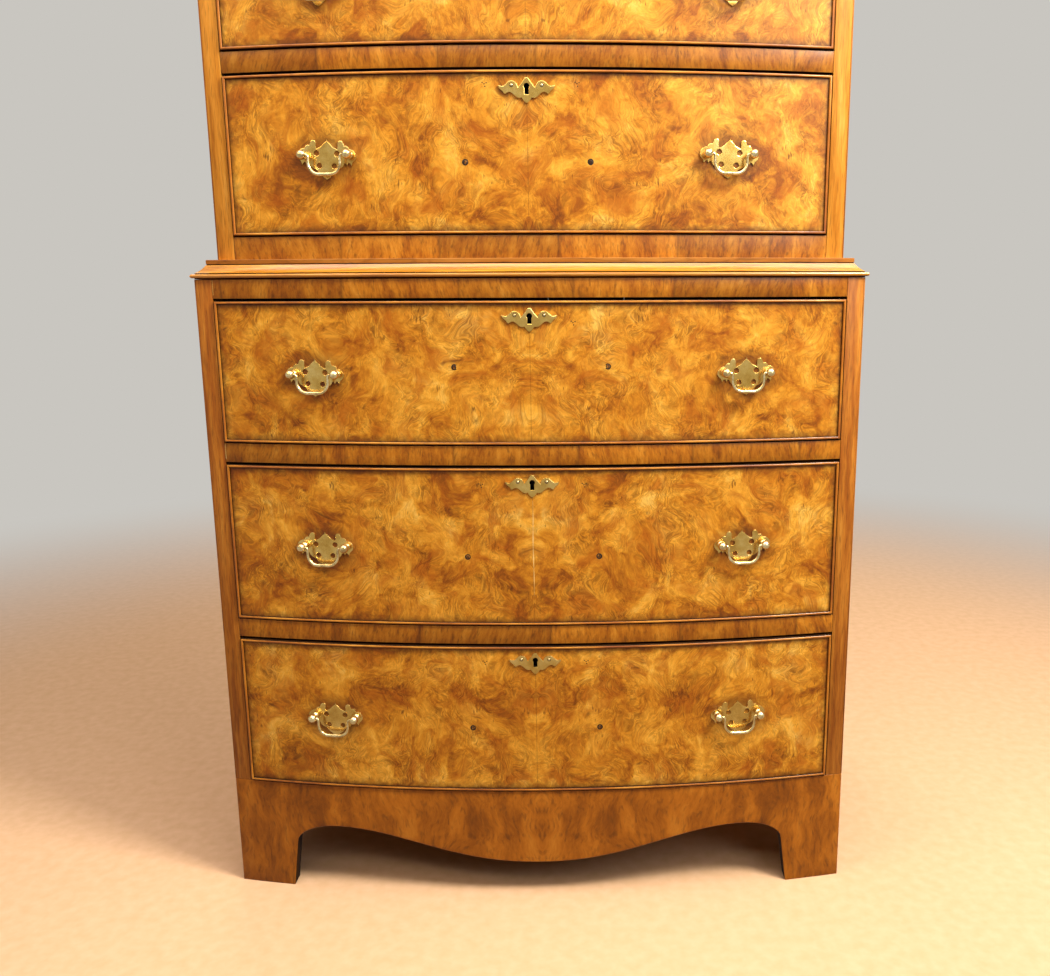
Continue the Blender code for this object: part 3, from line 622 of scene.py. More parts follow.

# %% [markdown]
# Walnut that isn't burr shows stripes: each year of growth is a band, and where a saw cuts the
# bands decides the picture. One function draws them all. It stretches the place along the grain,
# pushes it about so that the bands wander, and lays fine dark pores on top. The rails, stiles,
# sides, mouldings and the apron differ in how far and which way they stretch, and in their colours.
# The mouldings and the beads were polished more than the rest, and the edges in the gaps round the
# drawers, in the mouldings' grooves and inside the base are painted nearly black as their shade.

# %% Banded woods


def make_banded_wood(name, stretch, wander, shades, pores="#4a2a10", pore_amount=0.45, roughness=0.36,
        coat=0.0, gloss=0.30, pieces=0.0, lean=(0.0, 0.0, 0.0), mirror=None, band_detail=4.0, grit=0.55):
    """Wood with growth bands. `stretch` is bands a metre along x, y and z; `wander` in metres."""
    material, add, place, shifted = start_material(name)
    if mirror is not None:
        parts = add("SeparateXYZ", place)
        moved = add("Math", (parts.outputs["X"], mirror), operation="SUBTRACT")
        folded = add("Math", moved, operation="ABSOLUTE")
        shifted = add("CombineXYZ", {"X": folded, "Y": parts.outputs["Y"], "Z": parts.outputs["Z"]})
    if pieces:
        parts = add("SeparateXYZ", shifted)
        leaves = {"W": parts.outputs["X"], "Scale": 1 / pieces, "Randomness": 0.8}
        cell = add("TexVoronoi", leaves, voronoi_dimensions="1D")
        chance = add("SeparateColor", cell.outputs["Color"])
        tone = add("MapRange", (chance.outputs[0], 0.0, 1.0, 0.72, 1.0))
        slant = add("MapRange", (chance.outputs[1], 0.0, 1.0, -0.3, 0.3))
        lean = add("CombineXYZ", {"Y": slant})
        edge = add("TexVoronoi", leaves, voronoi_dimensions="1D", feature="DISTANCE_TO_EDGE")
        hop = add("VectorMath", {0: cell.outputs["Color"], "Scale": 3.0}, operation="SCALE")
        shifted = add("VectorMath", (shifted, hop), operation="ADD")
        joint = add("MapRange", (edge, 0.0, 0.02, 0.45, 0.0))
    wandering = push(add, shifted, 7.0, wander, detail=3.0)
    turned = add("Mapping", {"Vector": wandering, "Rotation": lean})
    stretched = add("Mapping", {"Vector": turned, "Scale": stretch})
    bands = add("TexNoise", {"Vector": stretched, "Scale": 1.0, "Detail": band_detail, "Roughness": grit})
    colour = add("ValToRGB", bands, stops=shades)
    finer = add("Mapping", {"Vector": stretched, "Scale": (7.0, 7.0, 7.0)})
    pore = add("TexNoise", {"Vector": finer, "Scale": 1.0, "Detail": 2.0})
    depth = add("MapRange", (pore, 0.52, 0.72, 0.0, pore_amount))
    colour = add("Mix", {0: depth, 6: colour, 7: srgb(pores)}, data_type="RGBA")
    if pieces:
        toned = add("Mix", {0: 1.0, 6: colour, 7: tone}, data_type="RGBA", blend_type="MULTIPLY")
        colour = add("Mix", {0: joint, 6: toned, 7: srgb(pores)}, data_type="RGBA")
    end_material(add, colour, pore, roughness, 0.0001, coat=coat, gloss=gloss)
    return material


# short pieces laid crosswise: upright streaks, and a new tone at each joint
CROSSBANDED_WALNUT = make_banded_wood("crossbanded_walnut", (52.0, 20.0, 15.0), 0.014, pieces=0.14,
    pores="#42200a", pore_amount=0.5, band_detail=9.0, grit=0.78, shades={0.28: "#6a3306", 0.42: "#9c560f",
    0.55: "#bf761b", 0.72: "#dc9838"})
# the stiles are straight-grained, so fine lines run up them; the lower ones are darker, painted shade for the
# light that falls off towards the floor
STRAIGHT = {"stretch": (110.0, 60.0, 7.0), "wander": 0.006, "band_detail": 8.0, "grit": 0.68}
LOWER_STILE = make_banded_wood("straight_walnut_lower", **STRAIGHT, pores="#4a260c", pore_amount=0.5,
    shades={0.26: "#74390c", 0.42: "#9a5414", 0.56: "#b87022", 0.76: "#d0903a"})
UPPER_STILE = make_banded_wood("straight_walnut_upper", **STRAIGHT, pores="#6a3a10",
    shades={0.26: "#a05a14", 0.42: "#c47a22", 0.56: "#dc9434", 0.76: "#efb054"})
# plain sawn veneer: long upright flames, a hand wide
SIDE_WALNUT = make_banded_wood("side_panel_walnut", (34.0, 44.0, 1.1), 0.016, band_detail=7.0,
    shades={0.25: "#6f3c0d", 0.42: "#985612", 0.55: "#b67022", 0.72: "#cd8c3b"})
# the same cut lying down, a little faded and dry
TOP_WALNUT = make_banded_wood("top_board_walnut", (1.1, 44.0, 34.0), 0.016, band_detail=7.0,
    shades={0.25: "#6b3a0e", 0.42: "#8f5115", 0.55: "#a96722", 0.72: "#bf8138"})
# two mirrored leaves of wavy grain: soft ripples either side of the middle
APRON_WALNUT = make_banded_wood("figured_apron_walnut", (34.0, 10.0, 11.0), 0.05, mirror=0.005,
    band_detail=9.0, grit=0.7, shades={0.25: "#643208", 0.42: "#92500e", 0.55: "#b26717", 0.72: "#ca8029"})
# scraped along its length and well polished: thin lines and a wet shine
MOULDED = {"wander": 0.006, "pores": "#6a380e", "roughness": 0.27, "coat": 0.6, "gloss": 0.5,
    "shades": {0.25: "#945609", 0.42: "#b26f12", 0.58: "#ca861e", 0.78: "#de9f38"}}
MOULDED_WALNUT = make_banded_wood("moulded_walnut", (5.0, 90.0, 330.0), **MOULDED)
MOULDED_WALNUT_SIDE = make_banded_wood("moulded_walnut_side", (90.0, 5.0, 330.0), **MOULDED)
# plain mahogany, redder and finer than walnut, rubbed smooth by hands
MAHOGANY = make_banded_wood("mahogany_bead", (12.0, 60.0, 12.0), 0.004, roughness=0.34, coat=0.25, gloss=0.4,
    pores="#5a2408", pore_amount=0.3, shades={0.30: "#8c460a", 0.50: "#ba6e12", 0.70: "#dc9832"})
# painted shade on the edges in the gaps round the drawers, in the moulding grooves and inside the base:
# nearly black and without shine
PAINTED_SHADE_EDGE = make_banded_wood("stained_oak_edge", (30.0, 60.0, 30.0), 0.004, roughness=0.8, gloss=0.06,
    pores="#1c0f06", shades={0.30: "#2a170a", 0.60: "#3d2410", 0.80: "#4e3017"})
# quartered oak without polish: fine straight lines, open pores, dull
BARE_OAK = {"wander": 0.004, "pores": "#6b4523", "pore_amount": 0.5, "roughness": 0.62,
    "shades": {0.28: "#9b6d3c", 0.45: "#b78950", 0.60: "#c79d66", 0.75: "#d3ad7a"}}
OAK = make_banded_wood("drawer_oak", (140.0, 3.0, 90.0), **BARE_OAK)
OAK_ACROSS = make_banded_wood("drawer_oak_across", (3.0, 140.0, 90.0), **BARE_OAK)
# unpolished pine gone brown: wide soft bands, dull
BARE_PINE = {"wander": 0.02, "pores": "#7a4d24", "pore_amount": 0.3, "roughness": 0.7}
PINE = make_banded_wood("pine_board", (45.0, 45.0, 1.6), **BARE_PINE,
    shades={0.28: "#a06c37", 0.46: "#bd8b52", 0.60: "#cc9f68", 0.75: "#d6af7d"})
PINE_ACROSS = make_banded_wood("pine_board_across", (1.6, 45.0, 45.0), **BARE_PINE,
    shades={0.28: "#94622f", 0.46: "#b1804a", 0.60: "#c0935f", 0.75: "#cba375"})
print("banded woods ready")

# %% [markdown]
# The brass is cast, filed and once lacquered. The flat plates have gone a little green and dull in
# the hollows, and the bails, the ball heads and the pins are a paler brass, a painted highlight for
# the bright reflections that they show. The lock's inside and the nails are iron, nearly black.

# %% Brass, iron and plugs


def make_metal(name, shades, roughness, scale, relief, coat=0.0):
    """Metal with blotches `scale` to the metre and file marks six times as fine; relief in metres."""
    material, add, _, shifted = start_material(name)
    tarnish = add("TexNoise", {"Vector": shifted, "Scale": scale, "Detail": 5.0, "Roughness": 0.65})
    colour = add("ValToRGB", tarnish, stops=shades)
    marks = add("TexNoise", {"Vector": shifted, "Scale": scale * 6, "Detail": 3.0})
    end_material(add, colour, marks, roughness, relief, metallic=1.0, coat=coat)
    return material


# lacquered plate: a yellow shine with greener blotches a few centimetres wide
BRASS = make_metal("worn_brass", {0.30: "#c4963e", 0.50: "#dcb45c", 0.70: "#efcf80"}, 0.27, 45.0, 0.000015,
    coat=0.4)
# paler brass for bails, balls and pins: a painted highlight for their bright reflections, with fine scratches
BRIGHT_PAINTED_BRASS = make_metal("rubbed_brass", {0.32: "#b0925a", 0.50: "#e4cb8e", 0.68: "#fdeebe"}, 0.24, 120.0,
    0.00003, coat=0.6)
# iron with a skin of old oxide: nearly black, a dull glint
IRON = make_metal("black_iron", {0.35: "#2a2622", 0.65: "#4a433b"}, 0.55, 200.0, 0.0001)
# end grain of a round plug: dark and mottled
PLUG_WOOD = make_banded_wood("plug_walnut", (300.0, 60.0, 200.0), 0.002,
    shades={0.38: "#2e1a0a", 0.50: "#5a3514", 0.62: "#a06a2c"})
# wax filler: one pale, even tone
PALE_FILLER = make_banded_wood("pale_filler", (200.0, 60.0, 40.0), 0.002, pore_amount=0.1,
    shades={0.35: "#e0ae5c", 0.65: "#f2d08c"})
print("metals ready")

# %% [markdown]
# ## The case sides
#
# A side is a board of plain pine with walnut on everything that shows: a thick lipping down the front
# edge, which is the stile seen from the front, and a sheet of veneer outside that also covers the
# lipping's flank. That veneer's edge is the fine line near the outer edge of each stile.

# %% Sides
LIPPING = 0.006
SIDE_VENEER = 0.0016


def follow_bow(bm, back, before=0.05):
    """Move the front points of blocks whose front is at y = 0 back onto the bow."""
    for vert in bm.verts:
        if vert.co.y < before:
            vert.co.y += bow_y(vert.co.x, back)


def make_side(node_name, half, back, sign):
    low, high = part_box(node_name)
    inner, outer = half - SIDE_THICK, half - SIDE_VENEER
    spans = {                    # material, x from, x to, y from, y to
        "core": (PINE, inner, outer, LIPPING, BACK_Y - 0.0001),
        "stile": (UPPER_STILE if back else LOWER_STILE, inner, outer, 0.0, LIPPING),
        "veneer": (SIDE_WALNUT, outer, half, 0.0, BACK_Y),
    }
    for word, (wood, x_from, x_to, y_from, y_to) in spans.items():
        bm = bmesh.new()
        left, right = sorted((sign * x_from, sign * x_to))
        add_block(bm, (left, y_from, low.z), (right, y_to, high.z), arris=0.0004)
        follow_bow(bm, back)
        hand_over_shape(bm, f"{node_name}_{word}", [wood], "carcase", "walnut_case", node_name)


for case, half, back in (("lower", HALF, 0.0), ("upper", HALF - STEP, STEP)):
    make_side(f"{case}_side_left", half, back, -1)
    make_side(f"{case}_side_right", half, back, 1)
print("sides", round(HALF, 3), round(HALF - STEP, 3))

# %% [markdown]
# ## Rails and dust boards
#
# Between two drawers a rail runs from side to side, bowed like the drawers. Its face is veneered
# with short pieces of walnut whose grain stands upright. Behind it lies a thin pine board that keeps
# dust, and the neighbour's contents, out of the drawer below.

# %% Rails with their boards
RAIL_DEPTH = 0.050
DUST_THICK, BOARD_THICK = 0.012, 0.018
BACK_PANEL_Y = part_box("lower_back")[0].y
RAILS = {                        # how far its case stands back, thickness of the board behind it
    "lower_dust_board_1": (0.0, DUST_THICK), "lower_dust_board_2": (0.0, DUST_THICK),
    "lower_top_board": (0.0, BOARD_THICK), "upper_bottom_board": (STEP, BOARD_THICK),
    "upper_dust_board_1": (STEP, DUST_THICK), "upper_dust_board_2": (STEP, DUST_THICK),
    "upper_top_board": (STEP, None)}


def make_rail(node_name, back, board_thick):
    """A rail with its board. The top rail has none, because it carries the top boards instead."""
    low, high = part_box(node_name)
    reach = high.x
    rail_top = high.z if board_thick else TOP_Z - BOARD_THICK
    bm = bmesh.new()
    add_block(bm, (-reach, 0.0, low.z), (reach, RAIL_DEPTH, rail_top), arris=0.0005)
    slice_for_bow(bm, reach)
    hand_over_bent(bm, f"{node_name}_rail", back, (PINE_ACROSS, CROSSBANDED_WALNUT, PAINTED_SHADE_EDGE), "carcase",
        "walnut_case", node_name)
    if board_thick:
        bm = make_deck(reach, back, RAIL_DEPTH, BACK_PANEL_Y - GAP, high.z - board_thick, high.z)
        hand_over_shape(bm, f"{node_name}_board", [PINE_ACROSS], "carcase", "pine", node_name)


for name, (back, board_thick) in RAILS.items():
    make_rail(name, back, board_thick)
print(len(RAILS), "rails")

# %% Opened seams beside the lower rails


def make_seams():
    """The glue line between stile and rail has opened and been filled with pale wax."""
    bm = bmesh.new()
    for name in ("lower_top_board", "lower_dust_board_2"):
        low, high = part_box(name)
        x = low.x + 0.0004
        add_block(bm, (x, -0.00012, low.z + 0.004), (x + 0.0005, 0.0003, high.z - 0.001), arris=0)
    follow_bow(bm, 0.0)
    hand_over_shape(bm, "filled_seams", [PALE_FILLER], "carcase", "walnut_case")


make_seams()
print("two seams")

# %% [markdown]
# The top of the chest is level with the top of the cornice. Three boards lie side by side inside
# it, with a fine joint between them.

# %% Top boards
TOP_JOINTS = (0.335, 0.665)      # where the joints lie, as shares of the depth


def make_top():
    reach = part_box("upper_top_board")[1].x
    front = bow_y(0.0, STEP)
    depth = BACK_PANEL_Y - GAP - front
    ends = [front + share * depth for share in TOP_JOINTS] + [BACK_PANEL_Y - GAP]
    start = None
    for number, end in enumerate(ends, 1):
        bm = make_deck(reach, STEP, 0.0, end, TOP_Z - BOARD_THICK, TOP_Z, start)
        edges = [edge for edge in bm.edges if edge.calc_face_angle(0.0) > 1.0]
        bmesh.ops.bevel(bm, geom=edges, offset=0.0004, segments=1, affect="EDGES")
        hand_over_shape(bm, f"top_board_{number}", [TOP_WALNUT], "carcase", "walnut_case", "upper_top_board")
        start = end + 0.0001


make_top()
print("top of", len(TOP_JOINTS) + 1, "boards")

# %% [markdown]
# ## Mouldings
#
# A moulding is one profile carried round the case: along one side, across the bowed front and back
# along the other side, with mitred corners. A loft does exactly that. Every point of the profile
# knows how far out it stands, so the corner lands on the mitre by itself.

# %% Carrying a profile round the case


def arc_points(centre, radius, start, end, count):
    """Points on an arc, in (out, height)."""
    return [(centre[0] + radius[0] * math.cos(a), centre[1] + radius[1] * math.sin(a))
        for a in spread(start, end, count)]


def make_moulding(node_name, half, back, profile):
    """Three lofted runs of one profile, which meet on the mitres at the front corners."""
    runs = {"front": [], "left": [], "right": []}
    for out, z, *_ in profile:
        edge = half + out
        front = bow_y(edge, back) - out
        bowed = [(x, bow_y(x, back) - out, z) for x in stations(half - SIDE_THICK)]
        runs["front"].append([(-edge, front, z), *bowed, (edge, front, z)])
        runs["left"].append([(-edge, BACK_Y, z), (-edge, front, z)])
        runs["right"].append([(edge, front, z), (edge, BACK_Y, z)])
    finish = [point[2] if len(point) > 2 else 0 for point in profile]
    for word, columns in runs.items():
        wood = MOULDED_WALNUT if word == "front" else MOULDED_WALNUT_SIDE
        bm = loft(bmesh.new(), list(zip(*columns)))
        for index, face in enumerate(list(bm.faces)[:-2]):
            face.material_index = finish[index % len(finish)]
        hand_over_shape(bm, f"{node_name}_run_{word}", [wood, PAINTED_SHADE_EDGE, TOP_WALNUT], "carcase",
            "walnut_case", node_name, sharp_degrees=30)


GROOVE_SHADE, BROWN = 1, 2              # strips of a profile: grooves painted dark as their shade, and the square fillet in a darker, unpolished wood that also paints its shade


def waist_profile(low, high):
    """Shadow line, half-round nose, quirk, broad nearly straight slope, groove and square fillet."""
    nose = 0.0023
    under = low + 0.0012
    inside = -STEP + 2 * GAP
    foot, shelf = under + 2 * nose + 0.0012, high - 0.0062
    points = [(inside, low), (-0.0004, low, GROOVE_SHADE), (-0.0004, under, GROOVE_SHADE)]
    points += arc_points((0.004 - nose, under + nose), (nose, nose), -math.pi / 2, math.pi / 2, 10)
    points += [(-0.0006, under + 2 * nose, GROOVE_SHADE), (-0.0014, foot - 0.0006, GROOVE_SHADE), (-0.0002, foot)]
    points += [(-0.0002 - 0.0114 * t, foot + (shelf - foot) * (t - 0.6 * t * (1 - t)))
        for t in spread(0, 1, 8)[1:-1]]
    points += [(-0.0116, shelf, GROOVE_SHADE), (-0.0124, shelf + 0.0002, GROOVE_SHADE), (-0.0124, shelf + 0.0010, BROWN),
        (-0.0118, shelf + 0.0013, BROWN), (-0.0118, high - 0.0005, BROWN)]
    return points + [(-0.0123, high), (inside, high)]


def cornice_profile(low, high):
    """Square fillet, cove, step, ovolo and top fillet."""
    cove_low, cove_high = low + 0.004, low + 0.024
    fillet = high - 0.007
    points = [(GAP, low), (0.0034, low), (0.004, low + 0.0006), (0.004, cove_low)]
    points += arc_points((0.016, cove_low), (-0.0117, cove_high - cove_low), 0.0, math.pi / 2, 10)
    points += arc_points((0.018, fillet), (0.0077, cove_high + 0.002 - fillet), math.pi / 2, 0.0, 8)
    return points + [(0.026, fillet), (0.026, high - 0.0008), (0.0252, high), (GAP, high)]


MOULDINGS = {"waist_moulding": (HALF, 0.0, waist_profile), "cornice": (HALF - STEP, STEP, cornice_profile)}
for name, (half, back, profile) in MOULDINGS.items():
    low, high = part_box(name)
    make_moulding(name, half, back, profile(low.z, high.z))
    print(name, round(high.z - low.z, 4), "m high")

# %% [markdown]
# ## Flat shapes with an outline
#
# The apron, the backplates and the escutcheons are all flat things with a fancy edge. A 2-D curve is
# the natural start: it fills itself, treats an inner loop as a hole, and its bevel rounds the edge
# like a file does. Each point is either sharp or lets the line flow through it.

# %% Outline to mesh


def add_loop(curve, points):
    """Add a closed loop of (x, z) or, for a corner, (x, z, "sharp")."""
    spline = curve.splines.new("BEZIER")
    spline.bezier_points.add(len(points) - 1)
    for made, point in zip(spline.bezier_points, points):
        made.co = (point[0], point[1], 0.0)
        made.handle_left_type = made.handle_right_type = "VECTOR" if len(point) > 2 else "AUTO"
    spline.use_cyclic_u = True


def cut_out(name, loops, thick, edge, resolution=6, rounds=2):
    """A sheet in the x-z plane from y = -thick to 0. No rounds leave its edges as flat chamfers."""
    curve = bpy.data.curves.new(name, "CURVE")
    curve.dimensions = "2D"
    curve.fill_mode = "BOTH"
    curve.resolution_u = resolution
    curve.extrude = thick / 2 - edge
    curve.bevel_depth = edge
    curve.bevel_resolution = rounds
    curve.offset = -edge
    for points in loops:
        add_loop(curve, points)
    obj = new_object(name, curve)
    mesh = plain_mesh(obj)
    bpy.data.objects.remove(obj)
    mesh.transform(Matrix.Translation((0, -thick / 2, 0)) @ Matrix.Rotation(math.pi / 2, 4, "X"))
    bm = bmesh.new()
    bm.from_mesh(mesh)
    bpy.data.meshes.remove(mesh)
    bmesh.ops.remove_doubles(bm, verts=bm.verts, dist=1e-6)
    bmesh.ops.recalc_face_normals(bm, faces=bm.faces)
    board_layer(bm)
    number_board(bm, bm.verts)
    return bm


print("outline helper ready")

# %% [markdown]
# ## Bracket base
#
# The base is a frame of four boards standing on edge, cut out underneath so that four bracket feet
# remain. The front board carries the deepest curve, a long swell in the middle, and is bent to the
# bow like everything above it. Its veneer is two mirrored leaves with a lively figure.

# %% Base outlines
APRON_THICK = 0.022
BASE_ARRIS = 0.0008
SWELL_Z, ARCH_Z = 0.0473, 0.090  # the apron's lower edge in the middle, and at its highest
ARCH_IN, TURN_IN, FOOT_IN = 0.138, 0.081, 0.073     # from the side: the arch, its turn down, the foot
TURN_Z = 0.063
SIDE_FOOT, BACK_ARCH_Z = 0.085, 0.060
BRACKET_CORNER = 0.030
base_top = base_high.z


def apron_edge():
    """The lower edge of the front apron from the middle to the floor at the right foot."""
    arch_x, turn_x = HALF - ARCH_IN, HALF - TURN_IN
    points = [(arch_x * t, SWELL_Z + (ARCH_Z - SWELL_Z) * (1 - math.cos(math.pi * t ** 1.15)) / 2)
        for t in spread(0, 1, 16)]
    points += arc_points((arch_x, TURN_Z), (turn_x - arch_x, ARCH_Z - TURN_Z), math.pi / 2, 0, 8)[1:]
    return points + [(HALF - FOOT_IN, 0.0)]


def bracket_edge(low, high, top):
    """The opening of a plain bracket board between two feet."""
    corner = (low + BRACKET_CORNER, top - BRACKET_CORNER)
    points = [(low, 0.0)] + arc_points(corner, (-BRACKET_CORNER, BRACKET_CORNER), 0, math.pi / 2, 6)
    return points + [(low + high - y, z) for y, z in reversed(points)]


def sharp(points):
    return [(a, b, "sharp") for a, b in points]


def base_board(low, high, edge):
    """A board from low to high along its length, cut out underneath along the given edge."""
    outline = [(low, base_top), (low, 0.0), *edge, (high, 0.0), (high, base_top)]
    return cut_out("base_board", [sharp(outline)], APRON_THICK, BASE_ARRIS, resolution=1)


def mitre(bm, *cuts):
    """Cut away what lies beyond each (point, direction) and close the cuts."""
    for point, beyond in cuts:
        bmesh.ops.bisect_plane(bm, geom=everything(bm), clear_outer=True, plane_co=point, plane_no=beyond)
    bmesh.ops.holes_fill(bm, edges=[edge for edge in bm.edges if edge.is_boundary])


print("apron rises from", SWELL_Z, "to", ARCH_Z, "m")

# %% Base boards


def make_base_front():
    edge = apron_edge()
    bm = base_board(-HALF, HALF, [(-x, z) for x, z in reversed(edge[1:])] + edge)
    move(bm, Matrix.Translation((0, APRON_THICK, 0)))
    slice_for_bow(bm, HALF)
    mitre(bm, *[((sign * HALF, 0, 0), Vector((sign, 1, 0)).normalized()) for sign in (-1, 1)])
    hand_over_bent(bm, "base_front", 0.0, (PAINTED_SHADE_EDGE, APRON_WALNUT, PAINTED_SHADE_EDGE), "carcase",
        "walnut_case", "bracket_base")


def make_base_side(sign, word):
    bm = base_board(CORNER_Y, BACK_Y, bracket_edge(CORNER_Y + SIDE_FOOT, BACK_Y - SIDE_FOOT, ARCH_Z))
    inner_x = HALF - APRON_THICK
    move(bm, Matrix.Translation((inner_x, 0, 0)) @ Matrix.Rotation(math.pi / 2, 4, "Z"))
    corner = Vector((HALF, CORNER_Y, 0))
    inner = Vector((inner_x, bow_y(inner_x) + APRON_THICK, 0))
    mitre(bm, (corner, Vector((0, 0, 1)).cross(inner - corner).normalized()))
    if sign < 0:
        bmesh.ops.scale(bm, vec=(-1, 1, 1), verts=bm.verts)
    bmesh.ops.recalc_face_normals(bm, faces=bm.faces)
    hand_over_shape(bm, f"base_side_{word}", [SIDE_WALNUT], "carcase", "walnut_case", "bracket_base")


def make_base_back():
    reach = HALF - APRON_THICK
    bm = base_board(-reach, reach, bracket_edge(SIDE_FOOT - HALF, HALF - SIDE_FOOT, BACK_ARCH_Z))
    move(bm, Matrix.Translation((0, BACK_Y, 0)))
    hand_over_shape(bm, "base_back", [PINE_ACROSS], "carcase", "pine", "bracket_base")


make_base_front()
make_base_side(-1, "left")
make_base_side(1, "right")
make_base_back()
print("four base boards", APRON_THICK, "m thick")

# %% [markdown]
# Inside each corner of the base a stack of glue blocks, painted as dark as the inside of the feet to
# stand for the shade under the chest, stiffens the foot, and the bottom board of the lower case rests
# inside the frame.

# %% Glue blocks and bottom board
GLUE_BLOCK = 0.038


def make_inside_base():
    bm = bmesh.new()
    low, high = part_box("lower_bottom_board")
    inner = HALF - APRON_THICK
    for sign in (-1, 1):
        for y in (bow_y(inner) + APRON_THICK, BACK_Y - APRON_THICK - GLUE_BLOCK):
            left, right = sorted((sign * (inner - GLUE_BLOCK), sign * inner))
            add_block(bm, (left, y + 0.001, 0.004), (right, y + GLUE_BLOCK, low.z - GAP), arris=0.002)
    hand_over_shape(bm, "foot_glue_blocks", [PAINTED_SHADE_EDGE], "carcase", "pine")
    bm = make_deck(high.x, 0.0, APRON_THICK + GAP, high.y, low.z, high.z)
    hand_over_shape(bm, "bottom_board", [PINE_ACROSS], "carcase", "pine", "lower_bottom_board")


make_inside_base()
print("glue blocks in four corners")

# %% [markdown]
# ## Small things in rows
#
# Nails, dovetails and plugs repeat, so one Geometry Nodes tree places them all: a copy of a small
# shape on each point of a mesh, each turned a little at random, made real and given its material.

# %% The placing tree


def make_placing_tree():
    tree, add, given, result = new_tree("place_on_points", ("Shape", "Object"), ("Turn", "Float"),
        ("Seed", "Int"), ("Finish", "Material"))
    shape = add("ObjectInfo", {"Object": given["Shape"]}, transform_space="ORIGINAL")
    most = add("CombineXYZ", {"Y": given["Turn"]})
    least = add("VectorMath", {0: most, "Scale": -1.0}, operation="SCALE")
    turn = add("RandomValue", {0: least, 1: most, "Seed": given["Seed"]}, data_type="FLOAT_VECTOR")
    copies = add("InstanceOnPoints", {"Points": given["Geometry"], "Instance": shape.outputs["Geometry"],
        "Rotation": turn})
    whole = add("RealizeInstances", copies)
    finish = add("SetMaterial", {"Geometry": whole, "Material": given["Finish"]})
    tree.links.new(finish.outputs[0], result["Geometry"])
    return tree


PLACING_TREE = make_placing_tree()


def hand_over_copies(name, bm, points, material, body, slot, *nodes, turn=0.0, seed=1):
    """Place copies of the shape in bm on the given points and hand them over as one piece."""
    shape = new_object("shape", mesh_of(bm, "shape"))
    mesh = bpy.data.meshes.new(name)
    mesh.from_pydata(points, [], [])
    obj = add_tree(new_object(name, mesh), PLACING_TREE, shape=shape, turn=turn, seed=seed, finish=material)
    hand_over(shade(settle(obj)), body, slot, *nodes)
    bpy.data.objects.remove(shape)


print("placing tree has", len(PLACING_TREE.nodes), "nodes")

# %% [markdown]
# ## Backs
#
# The backs are plain upright pine boards, butted together and nailed to the case. Nobody was meant
# to see them, so they were left unpolished and have gone brown.

# %% Back boards and nails
BACK_BOARDS = 6
BOARD_GAP = 0.0003
BACK_SUNK = 0.0008               # the boards lie this far inside the case's back, for the nails' heads
NAIL_IN = 0.022                  # from a nail to the edge of its board
NAIL_SHARES = (0.04, 0.5, 0.96)  # heights of the nails, as shares of a board's length


def turned_shape(profile, sides):
    """A solid turned about Y from (y, radius) pairs, closed at both ends."""
    angles = [2 * math.pi * (k + 0.5) / sides for k in range(sides)]
    rings = [[(radius * math.cos(a), y, radius * math.sin(a)) for a in angles] for y, radius in profile]
    return loft(bmesh.new(), rings)


def make_back(node_name):
    low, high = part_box(node_name)
    face = high.y - BACK_SUNK
    bm = bmesh.new()
    nails = []
    edges = spread(low.x, high.x, BACK_BOARDS)
    for left, right in zip(edges, edges[1:]):
        add_block(bm, (left + BOARD_GAP, low.y, low.z), (right - BOARD_GAP, face, high.z), arris=0.001)
        for share in NAIL_SHARES:
            z = low.z + share * (high.z - low.z)
            nails += [(left + NAIL_IN, face, z), (right - NAIL_IN, face, z)]
    hand_over_shape(bm, f"{node_name}_boards", [PINE], "carcase", "pine", node_name)
    head = turned_shape([(-0.0006, 0.0030), (0.0002, 0.0030), (0.0006, 0.0022)], 10)
    hand_over_copies(f"{node_name}_nails", head, nails, IRON, "carcase", "brass", turn=3.0, seed=4)


make_back("lower_back")
make_back("upper_back")
print(2 * BACK_BOARDS, "back boards")

# %% [markdown]
# ## Drawers
#
# Each drawer front is a bowed block faced with burr walnut. A thin mahogany bead is let in all round
# its edge and stands a little proud, which protects the veneer. The face carries three more numbers
# on its points, how far the bead is and where the pulls are, and the finish uses them to darken the
# veneer with old polish and painted shade along the bead, and with grime and a painted shadow round
# the pulls.

# %% Drawer sizes
DRAWERS = range(1, 7)
FRONT_THICK = 0.020
BEAD_WIDTH = 0.0035
BEAD_DEEP = 0.009                # how far the bead is let into the front
BEAD_PROUD = 0.0010              # how far its straight flanks stand in front of the face
RIM = 0.016                      # old polish and painted shade fade out over this distance from the bead
KEYWAY_HALF, KEYWAY_UP, KEYWAY_DOWN = 0.0046, 0.0052, 0.0122    # the way through a front for the key


def drawer_back(number):
    """How far this drawer's case stands back."""
    return 0.0 if number < 4 else STEP


for number in DRAWERS:
    low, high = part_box(f"drawer_{number}_front")
    print("drawer", number, "front", round(high.x - low.x, 4), "x", round(high.z - low.z, 4), "m")

# %% Drawer fronts


def merge(bm, other, matrix=None):
    """Move the shape in other into bm."""
    if matrix:
        move(other, matrix)
    mesh = mesh_of(other, "merge")
    bm.from_mesh(mesh)
    bpy.data.meshes.remove(mesh)


def pierce(bm, half, low, high):
    """Cut a rectangular way through a board from front to back, and line it."""
    slice_bm(bm, "X", (-half, half))
    slice_bm(bm, "Z", (low, high))
    inside = []
    for face in bm.faces:
        middle = face.calc_center_median()
        if abs(face.normal.y) > 0.9 and abs(middle.x) < half and low < middle.z < high:
            inside.append(face)
    bmesh.ops.delete(bm, geom=inside, context="FACES")
    bmesh.ops.bridge_loops(bm, edges=[edge for edge in bm.edges if edge.is_boundary])
    bmesh.ops.recalc_face_normals(bm, faces=bm.faces)


KEY_UP = 0.0189                  # from the escutcheon's lowest point to the keyhole's round part


def key_height(number):
    """The height of the keyhole's round part."""
    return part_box(f"drawer_{number}_lock")[0].z + KEY_UP


